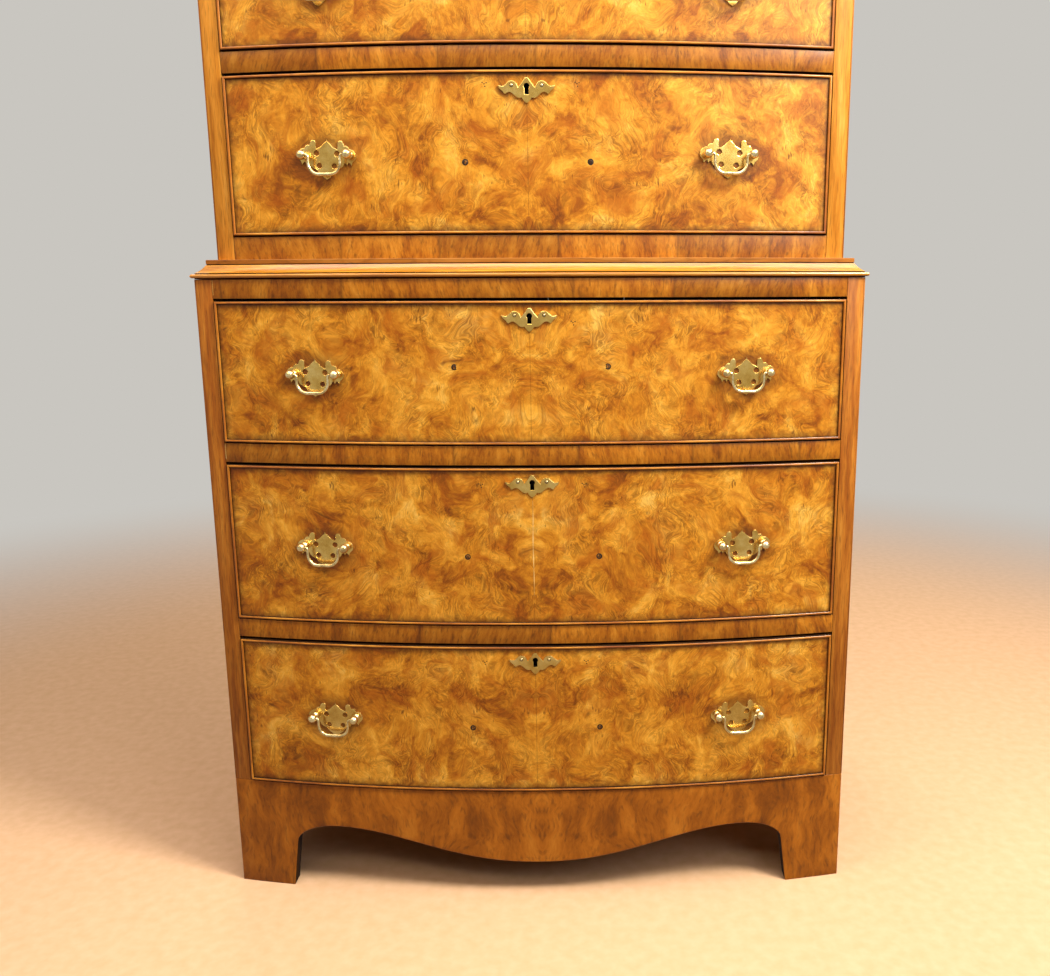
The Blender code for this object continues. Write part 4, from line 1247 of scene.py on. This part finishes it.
def make_front(number):
    low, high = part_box(f"drawer_{number}_front")
    half = high.x
    core = bmesh.new()
    add_block(core, (-half, BEAD_DEEP, low.z), (half, FRONT_THICK, high.z), arris=0.0004)
    inside = BEAD_WIDTH - GAP
    bm = bmesh.new()
    add_block(bm, (-half + inside, 0.0, low.z + inside), (half - inside, BEAD_DEEP, high.z - inside), arris=0)
    for share in (0.12, 0.25, 0.5, 1.0):
        inset = BEAD_WIDTH + share * RIM
        slice_bm(bm, "X", (inset - half, half - inset))
        slice_bm(bm, "Z", (low.z + inset, high.z - inset))
    for part in (core, bm):
        slice_for_bow(part, half)
        pierce(part, KEYWAY_HALF, key_height(number) - KEYWAY_DOWN, key_height(number) + KEYWAY_UP)
    merge(bm, core)
    # the halo of grime and painted shadow round each pull sits 3 mm below the bail's axis, where the shadow
    # falls
    pull = next(j["pos_m"] for j in frame["joints"] if j["name"] == f"drawer_{number}_bail_right_hinge")
    rim, pull_x, pull_z = (bm.verts.layers.float.new(name) for name in ("rim", "pull_x", "pull_z"))
    for vert in bm.verts:
        vert[pull_x], vert[pull_z] = abs(pull[0]), pull[2] - 0.003
        x, _, z = vert.co
        distance = min(x + half, half - x, z - low.z, high.z - z) - BEAD_WIDTH
        vert[rim] = min(max(distance / RIM, 0.0), 1.0)
    hand_over_bent(bm, f"drawer_{number}_face", drawer_back(number), (OAK_ACROSS, BURR_WALNUT, OAK_ACROSS),
        f"drawer_{number}", "burr_walnut", f"drawer_{number}_front")


for number in DRAWERS:
    make_front(number)
print(len(DRAWERS), "fronts")

# %% [markdown]
# The bead is a strip with a half-round edge, mitred at the corners. Four corner points for each
# point of its section make the mitres, and slices let it bend with the front.

# %% Cock beads


def make_bead(number):
    low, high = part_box(f"drawer_{number}_front")
    half, radius, deep = high.x, BEAD_WIDTH / 2, BEAD_DEEP - GAP
    section = [(0.0, deep), (0.0, -BEAD_PROUD)]
    section += [(radius - radius * math.cos(a), -BEAD_PROUD - radius * math.sin(a))
        for a in spread(0, math.pi, 8)[1:-1]]
    section += [(BEAD_WIDTH, -BEAD_PROUD), (BEAD_WIDTH, deep)]
    rings = []
    for inward, y in section:
        x, bottom, top = half - inward, low.z + inward, high.z - inward
        rings.append([(-x, y, bottom), (x, y, bottom), (x, y, top), (-x, y, top)])
    bm = loft(bmesh.new(), rings, closed=True)
    slice_for_bow(bm, half)
    hand_over_bent(bm, f"drawer_{number}_bead", drawer_back(number), (MAHOGANY, MAHOGANY, PAINTED_SHADE_EDGE),
        f"drawer_{number}", "burr_walnut", f"drawer_{number}_front")


for number in DRAWERS:
    make_bead(number)
print("bead stands proud by", BEAD_WIDTH / 2 + BEAD_PROUD, "m")

# %% [markdown]
# Behind each front is an oak box: two sides with rounded top edges, a back, and a thin bottom with
# its grain across. The sides are dovetailed into the front and the back, so pale tails show on the
# ends of the front, and the end grain of the back shows between the tails at the rear.

# %% Drawer boxes
BOX_SIDE = 0.010
BOX_BOTTOM = 0.006


def make_box(number):
    low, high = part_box(f"drawer_{number}_box")
    half, inner = high.x, high.x - BOX_SIDE
    front_end, back = FRONT_THICK + GAP, drawer_back(number)
    sides = bmesh.new()
    for sign in (-1, 1):
        left, right = sorted((sign * inner, sign * half))
        add_block(sides, (left, front_end, low.z), (right, high.y, high.z), arris=0.002, segments=3)
    follow_bow(sides, back, before=0.1)
    rear = bmesh.new()
    add_block(rear, (-inner, high.y - BOX_SIDE, low.z + 0.001), (inner, high.y - 0.0002, high.z - 0.004),
        arris=0.0015)
    floor_z = low.z + 0.005
    bottom = make_deck(inner, back, front_end, high.y - BOX_SIDE, floor_z, floor_z + BOX_BOTTOM)
    for word, bm, wood in (("sides", sides, OAK), ("back", rear, OAK_ACROSS), ("bottom", bottom, OAK_ACROSS)):
        hand_over_shape(bm, f"drawer_{number}_{word}", [wood], f"drawer_{number}", "oak",
            f"drawer_{number}_box")


for number in DRAWERS:
    make_box(number)
print(len(DRAWERS), "boxes, bottoms", BOX_BOTTOM, "m thick")

# %% Dovetails
TAIL_PITCH = 0.030
TAIL_PROUD = 0.00012


def tail_shape(wide_y, narrow_y, wide, narrow):
    """A thin trapezoid plate in the y-z plane, one half width at each end."""
    corners = ((wide_y, -wide), (narrow_y, -narrow), (narrow_y, narrow), (wide_y, wide))
    return loft(bmesh.new(), [[(x, y, z) for y, z in corners] for x in (-TAIL_PROUD, TAIL_PROUD)])


def make_dovetails(number):
    """Tails on the ends of the front, and the pins of the back between the tails at the rear."""
    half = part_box(f"drawer_{number}_front")[1].x
    low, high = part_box(f"drawer_{number}_box")
    count = int((high.z - low.z) / TAIL_PITCH)
    pitch = (high.z - low.z) / count
    heights = [low.z + (k + 0.5) * pitch for k in range(count)]
    y = bow_y(half, drawer_back(number))
    at_front = [(sign * half, y, z) for sign in (-1, 1) for z in heights]
    at_back = [(sign * high.x, high.y, z + pitch / 2) for sign in (-1, 1) for z in heights[:-1]]
    tail = tail_shape(0.007, FRONT_THICK + GAP, 0.011, 0.0085)
    hand_over_copies(f"drawer_{number}_tails", tail, at_front, OAK, f"drawer_{number}", "oak",
        f"drawer_{number}_box")
    pin = tail_shape(-BOX_SIDE, 0.0, 0.0055, 0.003)
    hand_over_copies(f"drawer_{number}_pins", pin, at_back, OAK_ACROSS, f"drawer_{number}", "oak",
        f"drawer_{number}_box")


for number in DRAWERS:
    make_dovetails(number)
print("dovetails every", TAIL_PITCH, "m")

# %% [markdown]
# The fronts have been altered in their life. Earlier handles left holes that were filled with round
# plugs, and there are small clusters of pin holes near the top edges. A pale filled crack runs down
# the middle of the second drawer.

# %% Plugs, pin holes and the filled crack
PLUGS = {1: ((-0.080, 0.234), (0.080, 0.234)), 2: ((-0.080, 0.457), (0.080, 0.457)),
    3: ((-0.089, 0.687), (0.091, 0.687)), 4: ((-0.072, 0.9195), (0.072, 0.9195))}
PIN_HOLES = {1: ((-0.063, 0.3215), (0.063, 0.3215)), 2: ((-0.062, 0.546), (0.062, 0.546)),
    3: ((0.0505, 0.738),), 4: ((-0.048, 1.004), (0.057, 1.004))}
HOLES_IN_CLUSTER = ((0.0, 0.0), (0.0024, 0.0012), (-0.0021, 0.0016), (0.0008, -0.0026))


def make_repairs(number):
    """A dark ring and a plug in it at each filled hole, and dark dots for the pin holes."""
    back = drawer_back(number)
    plugs = [(x, bow_y(x, back), z) for x, z in PLUGS[number]]
    pins = [(x + dx, bow_y(x + dx, back), z + dz) for x, z in PIN_HOLES[number]
        for dx, dz in HOLES_IN_CLUSTER]
    kinds = (                    # name, places, material, seed, sides, profile
        ("plug_rings", plugs, IRON, 0, 20, [(-0.00006, 0.0024), (-0.00012, 0.0036), (0.0002, 0.0037)]),
        ("plugs", plugs, PLUG_WOOD, 10, 9, [(-0.00032, 0.0012), (-0.00026, 0.0021), (0.0, 0.0026)]),
        ("pin_holes", pins, IRON, 20, 8, [(-0.0001, 0.0006), (0.0001, 0.0009)]))
    for word, places, material, seed, sides, profile in kinds:
        hand_over_copies(f"drawer_{number}_{word}", turned_shape(profile, sides), places, material,
            f"drawer_{number}", "burr_walnut", turn=3.0, seed=number + seed)


def make_crack():
    """A sliver of filler whose width and line waver as a split in veneer does."""
    low, high = 0.406, 0.528
    rings = []
    for t in spread(0, 1, 40):
        z = low + (high - low) * t
        width = 0.00045 * math.sin(math.pi * t) ** 0.5 * (1 + 0.4 * math.sin(31 * t + 2))
        drift = 0.0003 * math.sin(9 * t)
        left, right = drift - width, drift + width
        rings.append([(left, -0.00008, z), (right, -0.00008, z), (right, 0.0004, z), (left, 0.0004, z)])
    hand_over_bent(loft(bmesh.new(), rings), "drawer_2_filled_crack", 0.0, (PALE_FILLER, PALE_FILLER,
        PALE_FILLER), "drawer_2", "burr_walnut")


for number in PLUGS:
    make_repairs(number)
make_crack()
print("repairs on", len(PLUGS), "drawers")

# %% [markdown]
# ## Locks
#
# The escutcheon is a small bat's wing of sheet brass held by two domed pins. Behind its keyhole a
# sleeve runs through the front to the iron lock, which is screwed to the inside.

# %% Escutcheon shapes
MM = 0.001


def mirrored(right):
    """A closed outline in metres from its right half, given in millimetres from top to bottom."""
    points = [(point[0] * MM, point[1] * MM, *point[2:]) for point in right]
    return points + [(-point[0], *point[1:]) for point in reversed(points[1:-1])]


ESCUTCHEON = mirrored([(0, 9.3, "sharp"), (1.8, 9.1), (3.2, 7.2), (4.7, 4.9), (6.9, 2.2),
    (9.6, -0.9, "sharp"), (11.3, 2.8), (13.4, 4.9), (16.8, 6), (20.2, 5.3), (23.4, 2.6), (26.8, 0.2),
    (29.4, 0.4), (32.4, 1.4, "sharp"), (31.7, -1.7), (29.0, -4.4, "sharp"), (27.3, -5.8), (26.3, -7.6),
    (24.2, -9.0, "sharp"), (22.4, -7.6), (19.6, -6.7), (16.8, -7.7), (14.1, -10.0), (11.3, -12.2),
    (8.0, -13.1), (5.8, -12.6, "sharp"), (4.4, -14.8), (2.5, -17.1), (0, -18.6, "sharp")])
PLATE = mirrored([(0, 18.2, "sharp"), (0.9, 15.8), (2.4, 14.5, "sharp"), (4.4, 12.8), (6.3, 10.6, "sharp"),
    (8.8, 8.9), (12.4, 7.2, "sharp"), (13.0, 9.8), (12.9, 13.2), (13.9, 15.8), (16.4, 16.8), (18.9, 15.6),
    (20.0, 13.2), (20.9, 11.2, "sharp"), (23.6, 11.2), (25.6, 9.6), (26.9, 7.4, "sharp"), (30.2, 7.0),
    (33.0, 4.9), (35.2, 1.4), (35.2, -2.2), (33.0, -5.4), (31.2, -7.0, "sharp"), (29.6, -11.4, "sharp"),
    (27.4, -8.4), (25.9, -7.8, "sharp"), (24.4, -11.0, "sharp"), (22.4, -8.4), (20.8, -9.0, "sharp"),
    (19.8, -11.4), (17.8, -13.4), (15.2, -15.0), (12.6, -16.2, "sharp"), (11.2, -17.6),
    (10.0, -19.6, "sharp"), (7.8, -21.4), (5.6, -22.6, "sharp"), (3.8, -24.9), (1.6, -26.0),
    (0, -27.2, "sharp")])


def ring_points(x, z, radius, count=12):
    angles = [2 * math.pi * k / count for k in range(count)]
    return [(x + radius * math.cos(a), z + radius * math.sin(a)) for a in angles]


def keyhole(grow=0.0):
    """Round above with a slot below, sharp points all round."""
    radius, half = 0.0031 + grow, 0.0022 + grow
    start = -math.acos(half / radius)
    arc = arc_points((0, 0), (radius, radius), start, math.pi - start, 16)
    return sharp(arc + [(-half, -0.0088 - grow), (half, -0.0088 - grow)])


print("escutcheon has", len(ESCUTCHEON), "points, backplate", len(PLATE))

# %% Locks
SLEEVE = [(-0.0045, 0.0051), (0.0045, 0.0051), (0.0045, -0.0121), (-0.0045, -0.0121)]
SLEEVE_LONG = 0.0225
ESCUTCHEON_THICK, ESCUTCHEON_EDGE = 0.0019, 0.0008
PIN_OUT, PIN_UP = 0.0172, 0.0009                    # the escutcheon's pins, from the keyhole
CASE_HALF, CASE_HIGH, CASE_THICK = 0.030, 0.036, 0.010
SCREWS = ((-0.024, -0.006), (0.024, -0.006), (-0.024, -0.024), (0.024, -0.024))


def make_lock(number):
    drawer, key_z = f"drawer_{number}", key_height(number)
    face_y = bow_y(0, drawer_back(number))
    seat = Matrix.Translation((0, face_y, key_z))
    bm = cut_out("escutcheon", [ESCUTCHEON, keyhole()], ESCUTCHEON_THICK, ESCUTCHEON_EDGE, rounds=1)
    move(bm, seat)
    hand_over_shape(bm, f"{drawer}_escutcheon", [BRASS], drawer, "brass", f"{drawer}_lock", sharp_degrees=15)
    seats = [(side * PIN_OUT, face_y, key_z + PIN_UP) for side in (-1, 1)]
    dome = turned_shape([(-0.0028, 0.0004), (-0.0027, 0.0010), (-0.0024, 0.0015), (-0.0020, 0.0017),
        (-0.0008, 0.0018)], 16)
    # a flat, nearly black ring round the foot of each pin, painted shade where the pin meets the plate
    shade_disc = turned_shape([(-0.00194, 0.0020), (-0.00192, 0.0022), (-0.0017, 0.0023)], 20)
    hand_over_copies(f"{drawer}_pins", dome, seats, BRIGHT_PAINTED_BRASS, drawer, "brass")
    hand_over_copies(f"{drawer}_pin_recesses", shade_disc, seats, IRON, drawer, "brass")
    bm = cut_out("sleeve", [sharp(SLEEVE), keyhole(0.0003)], SLEEVE_LONG, 0.0001, resolution=1)
    move(bm, Matrix.Translation((0, SLEEVE_LONG, 0)))
    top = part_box(f"{drawer}_lock")[1].z - key_z
    front = FRONT_THICK + GAP + bow_y(CASE_HALF) - bow_y(0)
    add_block(bm, (-CASE_HALF, front, top - CASE_HIGH), (CASE_HALF, front + CASE_THICK, top), arris=0.0008)
    for x, z in SCREWS:
        screw = turned_shape([(-0.0002, 0.0028), (0.0007, 0.0024), (0.0009, 0.0016)], 12)
        merge(bm, screw, Matrix.Translation((x, front + CASE_THICK, top + z)))
    move(bm, seat)
    hand_over_shape(bm, f"{drawer}_lock_case", [IRON], drawer, "brass", f"{drawer}_lock")


for number in DRAWERS:
    make_lock(number)
print(len(DRAWERS), "locks")

# %% [markdown]
# ## Pulls
#
# A pull has three parts: a pierced backplate, two turned posts that go through it and the drawer
# front, and a bail, the drop handle, whose turned-out ends sit in holes in the posts. The joints of
# the solid model say where each bail turns, so the pulls are placed from them.

# %% Backplates and posts
AXIS_OUT = 0.011                 # the bail's axis in front of the plate's back
POST_PITCH = 0.054
PLATE_THICK, PLATE_EDGE = 0.0020, 0.0007            # thickness, and width of the filed bevel
PLATE_BACK = 0.0003                                 # the plate's back behind the veneer's face
PIERCINGS = ((12.2, 2.2, 3.0), (9.0, -11.6, 2.9))   # millimetres across and up, and radius
CROOKED = {                      # degrees by which a plate was screwed on askew
    "4_left": 2.5, "4_right": 2.5, "3_left": 2.0, "3_right": -1.0, "2_left": 1.0, "2_right": -2.0,
    "1_left": 1.0, "1_right": -2.0}
BALL = 0.0055


def pull_matrix(joint):
    """From plate coordinates, x along the axis and y into the wood, to the room's."""
    across = Vector(joint["axis"]).normalized()
    up = Vector((0, 0, 1))
    inward = up.cross(across)
    turn = Matrix((across, inward, up)).transposed().to_4x4()
    return Matrix.Translation(Vector(joint["pos_m"])) @ turn


def post_shape():
    """A ball head, a neck and a flared foot on the plate."""
    ball = [(-BALL * math.cos(a), BALL * math.sin(a)) for a in spread(0, math.pi, 14)[1:12]]
    profile = [(-0.0056, 0.0004), *ball, (0.0048, 0.0026), (0.0054, 0.0023), (0.0066, 0.0025),
        (0.0080, 0.0036), (0.0088, 0.0042), (0.0094, 0.0043), (0.0100, 0.0040)]
    return turned_shape(profile, 28)


def make_plate(number, word, matrix):
    """The backplate, and the posts with their stems and with nuts inside the front."""
    drawer, nodes = f"drawer_{number}", f"drawer_{number}_plate_{word}"
    holes = [ring_points(side * x * MM, z * MM, r * MM) for x, z, r in PIERCINGS for side in (-1, 1)]
    bm = cut_out("plate", [PLATE, *holes], PLATE_THICK, PLATE_EDGE, rounds=1)
    askew = Matrix.Rotation(math.radians(CROOKED.get(f"{number}_{word}", 0.0)), 4, "Y")
    move(bm, Matrix.Translation((0, AXIS_OUT + PLATE_BACK, 0)))
    move(bm, matrix @ askew)
    hand_over_shape(bm, f"{drawer}_backplate_{word}", [BRASS], drawer, "brass", nodes, sharp_degrees=15)
    bm = bmesh.new()
    inside_y = AXIS_OUT + FRONT_THICK
    for side in (-1, 1):
        post = Matrix.Translation((side * POST_PITCH / 2, 0, 0))
        merge(bm, post_shape(), post)
        merge(bm, turned_shape([(0.010, 0.0021), (inside_y + 0.004, 0.0021)], 12), post)
        nut = turned_shape([(0.0, 0.0046), (0.0004, 0.0050), (0.0026, 0.0050), (0.0030, 0.0046)], 6)
        merge(bm, nut, post @ Matrix.Translation((0, inside_y + 0.0006, 0)))
    move(bm, matrix)
    hand_over_shape(bm, f"{drawer}_posts_{word}", [BRIGHT_PAINTED_BRASS], drawer, "brass", nodes, sharp_degrees=32)


print("backplate", round(2 * max(point[0] for point in PLATE), 4), "m wide")

# %% [markdown]
# The bail is one bent wire, thicker at the bottom, in the paler brass that paints its bright
# reflections. A Geometry Nodes tree starts from five straight stretches, rounds the corners, swells
# the middle and sweeps a circle along the line.

# %% The bail tree


def make_bail_tree():
    tree, add, given, result = new_tree("bent_wire", ("Bottom Corner", "Float"), ("Top Bend", "Float"),
        ("End Radius", "Float"), ("Swell", "Float"), ("Brass", "Material"))
    line = add("MeshToCurve", given["Geometry"])
    height = add("SeparateXYZ", add("InputPosition"))
    hanging = add("Math", (height.outputs["Z"], -0.01), operation="LESS_THAN")
    corner = add("Mix", {0: hanging, 2: given["Top Bend"], 3: given["Bottom Corner"]})
    rounded = add("FilletCurve", {"Curve": line, "Radius": corner, "Count": 14}, mode="POLY")
    along = add("SplineParameter")
    other = add("Math", (1.0, along), operation="SUBTRACT")
    hump = add("Math", (along, other), operation="MULTIPLY")
    steep = add("Math", (hump, hump), operation="MULTIPLY")
    swell = add("Math", (steep, given["Swell"], given["End Radius"]), operation="MULTIPLY_ADD")
    circle = add("CurvePrimitiveCircle", {"Resolution": 14, "Radius": 1.0})
    wire = add("CurveToMesh", {"Curve": rounded, "Profile Curve": circle, "Scale": swell, "Fill Caps": True})
    whole = add("RealizeInstances", wire)
    finish = add("SetMaterial", {"Geometry": whole, "Material": given["Brass"]})
    tree.links.new(finish.outputs[0], result["Geometry"])
    return tree


BAIL_TREE = make_bail_tree()
BAIL_LEG = 0.0190                # half the distance between the legs
BAIL_PIN = 0.0246                # half the distance between the ends of the pins
BAIL_DROP = 0.022
BAIL_SHAPE = {"bottom_corner": 0.0125, "top_bend": 0.0031, "end_radius": 0.00155, "swell": 0.0095}


def make_bail(number, word, matrix):
    points = [(-BAIL_PIN, 0, 0), (-BAIL_LEG, 0, 0), (-BAIL_LEG, 0, -BAIL_DROP), (BAIL_LEG, 0, -BAIL_DROP),
        (BAIL_LEG, 0, 0), (BAIL_PIN, 0, 0)]
    mesh = bpy.data.meshes.new("bail")
    mesh.from_pydata(points, [(k, k + 1) for k in range(len(points) - 1)], [])
    name = f"drawer_{number}_bail_{word}"
    wire = new_object(name + "_wire", mesh)
    bail = settle(add_tree(wire, BAIL_TREE, brass=BRIGHT_PAINTED_BRASS, **BAIL_SHAPE))
    bail.data.transform(matrix)
    hand_over(shade(bail), name, "brass", name)


hinges = [joint for joint in frame["joints"] if joint["name"].endswith("_hinge")]
for joint in hinges:
    _, number, _, word, _ = joint["name"].split("_")
    make_plate(number, word, pull_matrix(joint))
    make_bail(number, word, pull_matrix(joint))
print(len(hinges), "pulls")

# %% [markdown]
# ## The end
#
# The last cell prints that the script is done.

# %% The end
print("done")
